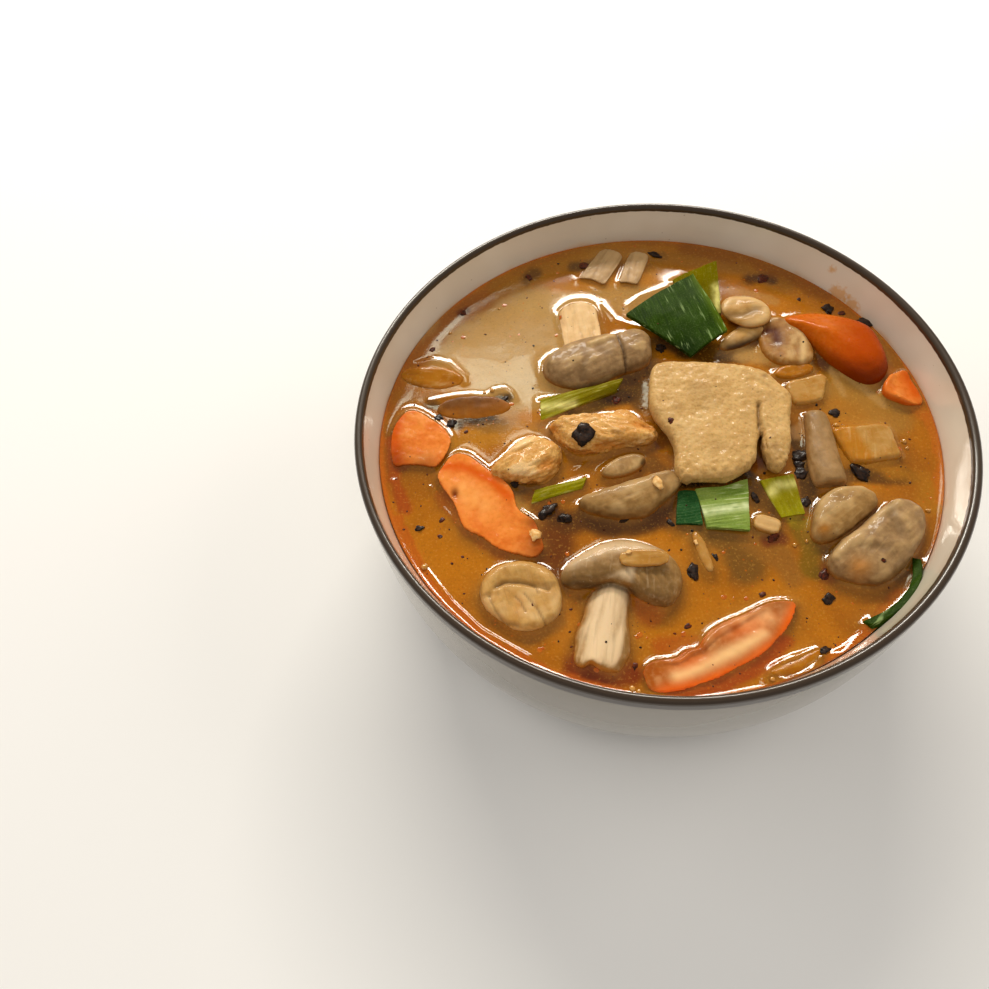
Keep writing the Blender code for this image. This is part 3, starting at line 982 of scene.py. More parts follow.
@dataclass
class Bowl:
    """The stoneware bowl, turned on its axis."""

    lip: float = 1.3
    foot_radius: float = 44.0
    foot_height: float = 2.7
    foot_width: float = 4.5
    foot_hollow: float = 1.8
    fullness: float = 3.4
    wall_at_broth: float = 5.3
    floor: float = 6.0
    steps: int = 160
    wall_points: int = 26
    glaze: Glaze = field(default_factory=Glaze)

    @property
    def lip_height(self) -> float:
        """Height of the middle of the lip above the foot."""
        return BOWL_HEIGHT - self.lip

    def wall(self, radius: float, foot: float, top: float, bottom: float) -> list[Plan]:
        """Points of a wall from its top to its floor, as a superellipse.

        Args:
            radius, top: where it starts.
            foot, bottom: where it ends.

        Returns:
            Its (radius, height) points.
        """
        points = []
        for i in range(self.wall_points + 1):
            angle = math.radians(90) * i / self.wall_points
            inward, drop = (max(f(angle), 0.0) ** (2 / self.fullness) for f in (math.cos, math.sin))
            points.append((foot + (radius - foot) * inward, top + (bottom - top) * drop))
        return points

    def broth_radius(self) -> float:
        """Radius of the inner wall where the broth meets it."""
        share = (self.lip_height - LEVEL) / (self.lip_height - self.foot_height)
        outer = self.foot_radius + (RIM_RADIUS - self.foot_radius) * (1 - share**self.fullness) ** (1 / self.fullness)
        return outer - self.wall_at_broth

    def inner_wall(self, offset: float = 0.0) -> list[Plan]:
        """The inner wall from the broth line down to the floor, drawn in by an offset."""
        low = self.foot_height + self.floor + offset
        foot = self.foot_radius - self.wall_at_broth
        return self.wall(self.broth_radius() - offset, foot, LEVEL, low)

    def profile(self) -> list[Plan]:
        """The whole section, from the middle of the floor over the lip to the middle of the underside."""
        floor = self.foot_height + self.floor
        lip_at = RIM_RADIUS - self.lip
        inside = [(0.0, floor), (self.foot_radius * 0.45, floor)] + self.inner_wall()[::-1]
        for share in (0.35, 0.7):
            inside.append((
                inside[-1][0] + (lip_at - self.lip - inside[-1][0]) * share * 0.8,
                LEVEL + (self.lip_height - LEVEL) * share,
            ))
        turn = [math.pi * (1 - i / 12) for i in range(13)]
        lip = [(lip_at + self.lip * math.cos(a), self.lip_height + self.lip * math.sin(a)) for a in turn]
        outside = self.wall(RIM_RADIUS, self.foot_radius + 2.0, self.lip_height, self.foot_height)[1:]
        inner_foot = self.foot_radius - self.foot_width
        foot = [
            (self.foot_radius + 1.0, 0.5), (self.foot_radius + 0.5, 0.1), (self.foot_radius, 0.0),
            (inner_foot + 1.0, 0.0), (inner_foot + 0.2, 0.2), (inner_foot - 0.2, 0.7),
            (inner_foot - 0.6, self.foot_hollow), (inner_foot * 0.5, self.foot_hollow), (0.0, self.foot_hollow),
        ]
        return inside + lip + outside + foot

    def build(self) -> bpy.types.Object:
        """Draws the section point by point and spins it.

        Returns:
            The bowl.
        """
        section = self.profile()
        bpy.ops.object.select_all(action="DESELECT")
        bpy.ops.mesh.primitive_plane_add(size=MM, location=(0.0, 0.0, section[0][1] * MM))
        bowl = bpy.context.active_object
        bowl.name = bowl.data.name = "stoneware_bowl"
        bpy.ops.object.transform_apply(location=True)
        with editing(bowl):
            bpy.ops.mesh.merge(type="CENTER")
            for (r0, z0), (r1, z1) in zip(section, section[1:]):
                step = ((r1 - r0) * MM, 0.0, (z1 - z0) * MM)
                bpy.ops.mesh.extrude_region_move(TRANSFORM_OT_translate={"value": step})
            bpy.ops.mesh.select_all(action="SELECT")
            bpy.ops.mesh.spin(steps=self.steps, angle=2 * math.pi, center=(0, 0, 0), axis=(0, 0, 1))
            bpy.ops.mesh.select_all(action="SELECT")
            bpy.ops.mesh.remove_doubles(threshold=0.01 * MM)
            bpy.ops.mesh.normals_make_consistent(inside=False)
        self.mark_outside(bowl)
        material = self.glaze.material(self.lip_height - LEVEL, RIM_RADIUS - self.lip)
        hand_over(bowl, Slot.BOWL, material, "bowl")
        return bowl

    def mark_outside(self, bowl: bpy.types.Object) -> None:
        """Marks the points whose side faces away from the bowl's axis."""
        skin = Skin(bowl, (0.0, 0.0))
        away = np.sum(skin.plan * skin.normals[:, :2], axis=1)
        layer = bowl.data.attributes.new("outside", "FLOAT", "POINT")
        layer.data.foreach_set("value", ((away > 0) | (skin.height < -44.0)).astype(np.float32))


# --- Toppings ------------------------------------------------------------------------------------------


@dataclass
class Topping:
    """A topping worked from its CAD solid: rounded, made fine, sculpted and painted."""

    node: str
    slot: Slot
    finish: Food
    cell: float = 0.42
    rounding: int = 5
    roundness: int = 2
    swell: float = 0.35  # makes up for what the rounding takes off
    wetted: bool = True  # whether the broth climbs it
    rise: float | None = None  # upper faces lower than this are brought up to it
    lean: Plan = (0.0, -0.6)  # how far they slide for each millimetre they rise
    tip: Plan = (0.0, 0.0)  # slope to the right and away
    stretch: Plan = (1.0, 1.0)
    shift: Plan = (0.0, 0.0)
    direction: float = 90.0  # of its fibres in plan, in degrees
    fibre_length: float = 9.0  # in widths
    grabs: tuple[tuple[float, float, float, float, float], ...] = ()  # x, y, reach and move

    def middle(self) -> Plan:
        """The middle of its plan, in the frame."""
        low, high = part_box(self.node)
        return ((low.x + high.x) / 2 / MM, (low.y + high.y) / 2 / MM)

    def build(self) -> bpy.types.Object:
        """Makes the piece.

        Returns:
            The finished piece.
        """
        piece = copy_of(self.node, self.node + "_cooked")
        self.refine(piece)
        skin = Skin(piece, self.middle())
        skin.push(np.full(len(skin.points), self.swell))
        skin.lift(skin.plan @ np.array(self.tip))
        skin.points[:, :2] = skin.plan * np.array(self.stretch) + np.array(self.shift)
        for x, y, reach, dx, dy in self.grabs:
            skin.grab(x, y, reach, dx, dy)
        skin.fibres = skin.grain(self.direction, self.fibre_length)
        skin.read_normals()
        if self.rise is not None:
            self.float_up(skin)
        self.sculpt(skin)
        skin.store()
        hand_over(piece, self.slot, self.finish.material(), self.node)
        return piece

    def refine(self, piece: bpy.types.Object) -> None:
        """Rounds the facets off and gives the mesh even cells."""
        if self.roundness:
            finish_with(piece, "SUBSURF", levels=self.roundness, render_levels=self.roundness)
        finish_with(piece, "REMESH", mode="VOXEL", voxel_size=self.cell * MM)
        finish_with(piece, "SMOOTH", factor=0.5, iterations=self.rounding)

    def float_up(self, skin: Skin) -> None:
        """Brings the low part of the upper side just clear of the broth."""
        wanted = self.rise + (skin.height - self.rise) * 0.12
        amount = np.maximum(wanted - skin.height, 0.0) * eased(skin.normals[:, 2], 0.05, 0.4)
        skin.lift(amount)
        skin.points[:, :2] += amount[:, None] * np.array(self.lean)
        skin.read_normals()

    def sculpt(self, skin: Skin) -> None:
        """Shapes and paints the piece; each kind of topping has its own way."""


@dataclass
class ChickenSlice(Topping):
    """A slice of poached breast: fine grained, ragged at the near edge and torn at the right."""

    def sculpt(self, skin: Skin) -> None:
        """Shapes and paints the slice."""
        tear = [(11.5, 1.5), (10.2, -3.0), (9.4, -8.0), (8.8, -14.0)]
        near = 1 - skin.beyond((-22.0, -17.0), (14.0, -16.0), 2.5)
        lumps = pebbles(skin.points, 2.2, 3)
        fine = pebbles(skin.points, 1.4, 5)
        skin.push((0.5 - lumps) * (0.05 + 0.55 * near) + (0.5 - fine) * (0.1 + 0.12 * near) + cloud(skin.points, 9.0, 1) * 0.35)
        skin.read_normals()
        skin.push(cloud(skin.points, 1.3, 2, 3) * 0.16 - skin.stroke(tear, 0.7) * 1.5 * skin.up)
        skin.push(-skin.stroke([(12.5, 11.0), (17.0, 6.0), (19.0, 0.0)], 0.8) * 0.4 * skin.up)
        flap = skin.spot(11.3, -15.5, 4.5, 3.0, 80)
        # painted shade in the tear
        skin.paint(Mask.DARK, skin.stroke(tear, 0.5) * 0.8)
        skin.paint(Mask.DARK, flap * (0.35 + 0.3 * cloud(skin.points, 1.6, 4)))
        skin.paint(Mask.DARK, skin.spot(-3.1, 6.0, 6.0, 4.5) * 0.16 + skin.spot(16.3, 11.8, 1.0) * 0.7)
        broad = cloud(skin.points, 7.0, 6)
        # painted light on the raised pebbles' upper faces
        skin.paint(Mask.PALE, eased(0.6 - fine + 0.4 * broad, 0.0, 0.7) * 0.45 * skin.up)
        # random darker patches, and a little painted shade in the hollows between the pebbles
        skin.paint(Mask.DARK, eased(-broad, 0.1, 0.8) * 0.22 + eased(fine, 0.7, 1.0) * 0.06)
        skin.paint(Mask.WARM, eased(-skin.height, -3.4, 0.0) * 0.5)


@dataclass
class PulledChicken(Topping):
    """A lump of breast that falls apart into fibres."""

    fan: float = 0.0
    coarse: float = 1.6

    def sculpt(self, skin: Skin) -> None:
        """Draws the fibres, which may fan out, as folds of several sizes."""
        fibres = np.zeros(len(skin.points))
        for share, turn in ((0.5, self.direction - self.fan), (0.5, self.direction + self.fan)):
            drawn = skin.grain(turn, 6.0)
            fibres += share * cloud(drawn, self.coarse, 11 + int(turn) % 7)
        folds = cloud(skin.grain(self.direction + 0.4 * self.fan, 2.5), 4.5, 5)
        skin.push(fibres * 0.5 + folds * 1.0)
        skin.read_normals()
        strands = np.abs(cloud(skin.grain(self.direction, 9.0), 0.9, 8, 2))
        skin.push(-0.35 * eased(0.35 - strands, 0.0, 0.35))
        # painted shade, darker and browner, in the low folds; painted light on the raised fibres and folds
        skin.paint(Mask.DARK, eased(-fibres - 0.5 * folds, 0.3, 1.0) * 0.4)
        skin.paint(Mask.WARM, eased(-folds, 0.05, 0.7) * 0.6)
        skin.paint(Mask.PALE, eased(fibres + 0.4 * folds, 0.25, 0.8) * 0.6)


@dataclass
class MushroomCap(Topping):
    """A cooked cap: smooth skin with shallow dents, paler along its upper rim."""

    rim: tuple[Plan, ...] = ()
    rim_width: float = 1.6
    rim_rise: float = 0.5
    cracks: tuple[tuple[Plan, ...], ...] = ()
    dents: tuple[tuple[Plan, ...], ...] = ()
    warm_spots: tuple[tuple[float, float, float], ...] = ()
    seed: int = 0

    def sculpt(self, skin: Skin) -> None:
        """Shapes and paints the cap."""
        wrinkles = cloud(skin.points, 6.0, self.seed + 1)
        folds = cloud(skin.grain(self.direction, 3.5), 2.6, self.seed + 2, 3)
        skin.push(wrinkles * 0.45 + folds * 0.2)
        skin.read_normals()
        if self.rim:
            ridge = skin.stroke(self.rim, self.rim_width) * skin.up
            skin.push(ridge * self.rim_rise)
            skin.paint(Mask.PALE, ridge * 0.75)
        for path in self.cracks:
            skin.push(-skin.stroke(path, 0.55) * 1.0 * eased(skin.up, 0.1, 0.5))
            # painted shade in the crack
            skin.paint(Mask.DARK, skin.stroke(path, 0.45) * 0.9)
        for path in self.dents:
            skin.push(-skin.stroke(path, 1.5) * 0.55 * skin.up)
            # painted shade in the dent
            skin.paint(Mask.DARK, skin.stroke(path, 1.4) * 0.3)
        for x, y, size in self.warm_spots:
            skin.paint(Mask.WARM, skin.spot(x, y, size) * 0.6)
        # painted light on the raised wrinkles' upper faces
        skin.paint(Mask.PALE, eased(wrinkles + folds, 0.2, 0.9) * 0.45 * skin.up)
        # painted shade on the steep and downward faces
        skin.paint(Mask.DARK, eased(1 - skin.up, 0.35, 0.95) * 0.3)
        skin.paint(Mask.WARM, eased(-skin.height, -3.0, -0.5) * 0.6)


@dataclass
class MushroomStem(Topping):
    """A stem lying down: long fibres, painted lighter on its upper faces, amber at the sides."""

    warmth: float = 0.5
    # how much painted light the upper faces take
    painted_top_light: float = 0.6

    def sculpt(self, skin: Skin) -> None:
        """Shapes and paints the stem."""
        fibres = cloud(skin.grain(self.direction, 7.0), 1.5, 21)
        skin.push(fibres * 0.15 + cloud(skin.points, 6.0, 22) * 0.25)
        skin.read_normals()
        # painted light on the upper faces
        skin.paint(Mask.PALE, eased(skin.up + 0.25 * fibres, 0.6, 1.1) * self.painted_top_light)
        skin.paint(Mask.WARM, eased(1 - skin.up, 0.25, 0.8) * self.warmth)
        skin.paint(Mask.DARK, eased(-fibres, 0.4, 0.9) * 0.2)


@dataclass
class SlicedMushroom(Topping):
    """A thin slice: pale flesh with a dark line of gills."""

    gills: tuple[Plan, ...] = ()
    gill_width: float = 0.8
    gill_tone: float = 0.85
    teeth: bool = False
    edge: tuple[Plan, ...] = ()

    def sculpt(self, skin: Skin) -> None:
        """Shapes and paints the slice."""
        skin.push(cloud(skin.points, 5.0, 31) * 0.25)
        skin.read_normals()
        if self.gills:
            line = skin.stroke(self.gills, self.gill_width)
            if self.teeth:
                along = run_from(skin.plan, self.gills)[1]
                line *= 0.6 + 0.4 * np.sin(along * 26.0)
            skin.push(-line * 0.5 * skin.up)
            skin.paint(Mask.DARK, line * self.gill_tone)
        if self.edge:
            skin.paint(Mask.PALE, skin.stroke(self.edge, 1.3) * 0.8)
        # random pale patches, kept to the upper faces: random tone with painted light
        skin.paint(Mask.PALE, eased(cloud(skin.points, 3.0, 32), -0.2, 0.6) * 0.5 * skin.up)
        skin.paint(Mask.WARM, eased(1 - skin.up, 0.4, 0.9) * 0.4)


@dataclass
class HalvedMushroom(Topping):
    """A cap cut in half: its skin curls over the far side as a band, and the cut face is cracked."""

    def sculpt(self, skin: Skin) -> None:
        """Shapes and paints the half cap."""
        band = [(-9.0, -1.0), (-8.4, 4.2), (-3.0, 7.8), (3.0, 7.0), (7.6, 3.4), (9.4, -2.0)]
        groove = [(-8.4, 0.6), (-6.6, 2.6), (-4.0, 3.6), (0.0, 3.1), (4.0, 1.6), (7.6, 0.0)]
        cracks = [[(0.9, -0.4), (2.6, -3.0), (3.9, -5.5), (5.4, -9.6)], [(-1.6, -1.0), (-0.4, -2.6), (0.6, -5.6)],
                  [(-8.6, 0.0), (-7.6, -4.0), (-5.4, -7.6), (-2.0, -9.2)], [(3.2, 2.0), (4.4, 0.8), (4.8, -0.8)]]
        away = skin.beyond((-10.0, 0.6), (9.0, 1.2), 0.8)
        skin.push(cloud(skin.points, 5.0, 41) * 0.3)
        skin.lift((skin.stroke(band, 2.4) * 0.9 * away - skin.stroke(groove, 0.6) * 0.7) * skin.up)
        skin.read_normals()
        for crack in cracks:
            skin.push(-skin.stroke(crack, 0.4) * 0.3)
            # painted shade in the crack
            skin.paint(Mask.DARK, skin.stroke(crack, 0.3) * 0.45)
        # painted shade in the groove under the curled band
        skin.paint(Mask.DARK, skin.stroke(groove[1:5], 0.5) * 0.55)
        skin.paint(Mask.PALE, (1 - away) * eased(cloud(skin.points, 4.0, 42), -0.4, 0.6) * 0.6)
        skin.paint(Mask.WARM, skin.spot(-1.0, -3.5, 3.0, 1.6, 60) * 0.35)
        # painted shade on the band's steep faces
        skin.paint(Mask.DARK, away * eased(1 - skin.up, 0.1, 0.9) * 0.4)


@dataclass
class LargeMushroom(Topping):
    """A big cap over its stem: smooth crescent, gills on the lobe at the right, a stem with a split foot."""

    def sculpt(self, skin: Skin) -> None:
        """Shapes and paints cap, gills and stem."""
        stem = 1 - skin.beyond((-14.0, 4.0), (2.0, 8.0), 1.0)
        stem = stem * (1 - skin.beyond((2.5, 4.0), (-1.0, -6.0), 1.0))
        lobe = skin.spot(8.6, 1.6, 5.5, 7.5, 15)
        fibres = cloud(skin.grain(68.0, 7.0), 1.6, 51)
        skin.push(cloud(skin.points, 7.0, 52) * 0.45 * (1 - stem) + fibres * 0.07 * stem)
        notch = skin.spot(-12.6, -18.4, 1.6, 2.6, -20)
        skin.points[:, 1] += notch * 2.2 * stem
        skin.read_normals()
        for i in range(5):
            gill = [(1.6 + i * 2.3, 7.4 - 0.2 * i), (3.6 + i * 2.2, 2.0), (5.4 + i * 2.0, -3.2)]
            skin.push(-skin.stroke(gill, 0.5) * 0.35 * skin.up)
            skin.paint(Mask.DARK, skin.stroke(gill, 0.55) * 0.32)
        under = [(-15.5, 7.6), (-9.0, 6.0), (-3.0, 5.4), (2.0, 3.2), (4.6, -1.4)]
        skin.push(-skin.stroke(under, 0.8) * 0.9 * skin.up)
        # painted shade under the cap's edge, where it hangs over the stem
        skin.paint(Mask.DARK, skin.stroke(under, 0.8) * 0.75)
        skin.paint(Mask.DARK, lobe * 0.4 + skin.spot(-7.5, 8.6, 8.5, 3.0, -4) * 0.42 * (1 - stem))
        # painted highlight along the top of the cap
        skin.paint(Mask.PALE, skin.stroke([(-13.0, 12.5), (-4.0, 15.4), (5.0, 15.0), (11.0, 11.5)], 2.2) * 0.6)
        # painted light on the stem's upper faces
        skin.paint(Mask.PALE, stem * eased(skin.up + 0.2 * fibres, 0.5, 1.0) * 0.95)
        skin.paint(Mask.WARM, stem * eased(1 - skin.up, 0.35, 0.9) * 0.6)


@dataclass
class TomatoWedge(Topping):
    """A wedge of tomato: skin along one side, firm flesh, and soft pulp in its hollow."""

    skin_side: tuple[Plan, ...] = ()
    skin_width: float = 2.0
    pulp: tuple[tuple[float, float, float, float, float], ...] = ()
    flesh: tuple[tuple[float, float, float, float, float], ...] = ()  # lighter places
    lumpy: float = 0.3
    bands: tuple[Plan, ...] = ()
    band_width: float = 1.8
    pits: tuple[Plan, ...] = ()
    shaded: tuple[tuple[float, float, float], ...] = ()
    seed: int = 0

    def sculpt(self, skin: Skin) -> None:
        """Shapes and paints the wedge."""
        lumps = cloud(skin.points, 5.0, self.seed + 61)
        skin.push(lumps * self.lumpy + cloud(skin.points, 1.6, self.seed + 62, 2) * 0.06)
        skin.read_normals()
        for x, y, length, width, turn in self.pulp:
            hollow = skin.spot(x, y, length, width, turn) * skin.up
            skin.push(hollow * (-0.3 + cloud(skin.points, 2.2, self.seed + 63, 2) * 0.22))
            skin.paint(Mask.WARM, hollow * 0.5)
        for x, y, length, width, turn in self.flesh:
            uneven = 0.7 + 0.5 * cloud(skin.points, 3.0, self.seed + 64)
            skin.paint(Mask.PALE, skin.spot(x, y, length, width, turn) * uneven * skin.up)
        if self.bands:
            band = skin.stroke(self.bands, self.band_width)
            skin.push(band * 0.35 * skin.up)
            skin.paint(Mask.PALE, band * 0.8)
        if self.skin_side:
            peel = skin.stroke(self.skin_side, self.skin_width)
            skin.paint(Mask.WARM, peel)
        for x, y in self.pits:
            skin.push(-skin.spot(x, y, 1.0, 1.5) * 0.8)
            skin.paint(Mask.DARK, skin.spot(x, y, 1.1, 1.6))
        for x, y, size in self.shaded:
            skin.paint(Mask.DARK, skin.spot(x, y, size) * 0.7)
        # painted light on the raised lumps' upper faces
        skin.paint(Mask.PALE, eased(lumps, 0.15, 0.8) * 0.25 * skin.up)
        skin.paint(Mask.WARM, eased(1 - skin.up, 0.2, 0.8) * 0.7)


@dataclass
class TomatoSkin(Topping):
    """A wedge that lies on its cut faces and shows its glossy skin."""

    def sculpt(self, skin: Skin) -> None:
        """Shapes and paints the skin: bright orange far left, redder towards the near right, with painted shade there
        and on the steep faces, and a faint painted highlight.
        """
        skin.push(cloud(skin.points, 8.0, 71) * 0.3)
        skin.read_normals()
        ridge = [(-10.0, 9.0), (-3.0, 4.0), (3.0, -3.0), (6.0, -11.0)]
        skin.push(skin.stroke(ridge, 2.4) * 0.5 * skin.up)
        across = skin.beyond((-7.0, -10.0), (7.0, 13.0), 8.0)
        near = skin.beyond((14.0, -6.0), (-8.0, -9.0), 7.0)
        skin.paint(Mask.WARM, 1 - 0.85 * across)
        # painted shade on the near side and on the steep faces
        skin.paint(Mask.DARK, eased(near + 0.4 * (1 - skin.up), 0.35, 1.25) * 0.8)
        skin.paint(Mask.DARK, skin.stroke([(-8.5, 1.0), (-3.0, -8.0), (3.0, -14.0)], 2.2) * 0.55)
        # a faint painted highlight
        skin.paint(Mask.PALE, skin.spot(-0.2, 5.6, 5.4, 2.2, -40) * 0.15)


@dataclass
class Leaf(Topping):
    """A cut piece of leek leaf: a crisp sheet with fine ribs along it."""

    rib_pitch: float = 0.85
    rib_depth: float = 0.12
    cuts: int = 20
    margin: tuple[Plan, ...] = ()
    margin_width: float = 2.0
    pale: tuple[tuple[Plan, ...], ...] = ()
    shaded: tuple[tuple[float, float, float], ...] = ()
    strength: float = 1.0
    swell: float = 0.0
    widen: float = 1.0
    lean_up: float = 0.0  # how steeply the side to the right of the ribs rises

    def refine(self, piece: bpy.types.Object) -> None:
        """Cuts the sheet into fine cells and leaves its edges crisp."""
        with editing(piece):
            bpy.ops.mesh.subdivide(number_cuts=self.cuts, smoothness=0.0)
            bpy.ops.mesh.normals_make_consistent(inside=False)
        finish_with(piece, "SMOOTH", factor=0.5, iterations=2)

    def sculpt(self, skin: Skin) -> None:
        """Shapes and paints the leaf."""
        turn = math.radians(self.direction)
        side = np.array((-math.sin(turn), math.cos(turn)))
        across = skin.plan @ side
        skin.points[:, :2] += np.outer(across * (self.widen - 1) - 0.6 * (self.widen - 1), side)
        skin.lift(-across * self.lean_up * self.widen)
        wander = cloud(skin.grain(self.direction, 8.0), 3.0, 81) * 0.35
        rib = np.sin((across + wander) * 2 * math.pi / self.rib_pitch)
        uneven = 0.55 + 0.45 * cloud(skin.grain(self.direction, 14.0), 1.4, 82)
        rib *= np.clip(uneven, 0.1, 1.0)
        skin.push(rib * self.rib_depth * np.abs(skin.normals[:, 2]) + cloud(skin.points, 9.0, 83) * 0.25)
        skin.paint(Mask.DARK, eased(-rib, 0.3, 1.0) * 0.3 * self.strength)
        if self.margin:
            skin.paint(Mask.WARM, skin.stroke(self.margin, self.margin_width) * 0.8)
        for path in self.pale:
            skin.paint(Mask.PALE, skin.stroke(path, 1.4) * (0.75 + 0.4 * cloud(skin.points, 1.5, 84)))
        for x, y, size in self.shaded:
            skin.paint(Mask.DARK, skin.spot(x, y, size) * 0.8)


@dataclass
class OnionPiece(Topping):
    """A softened piece of onion: smooth, translucent, with faint veins."""

    rounding: int = 2
    roundness: int = 0
    warm_side: tuple[Plan, Plan] | None = None

    def sculpt(self, skin: Skin) -> None:
        """Shapes and paints the piece."""
        veins = cloud(skin.grain(self.direction, 9.0), 1.4, 91)
        skin.push(cloud(skin.points, 5.0, 92) * 0.25 + veins * 0.06)
        skin.paint(Mask.PALE, eased(veins, 0.2, 0.9) * 0.5 * skin.up)
        skin.paint(Mask.WARM, eased(1 - skin.up, 0.3, 0.9) * 0.6)
        if self.warm_side:
            skin.paint(Mask.WARM, skin.beyond(*self.warm_side, 1.5) * 0.8)


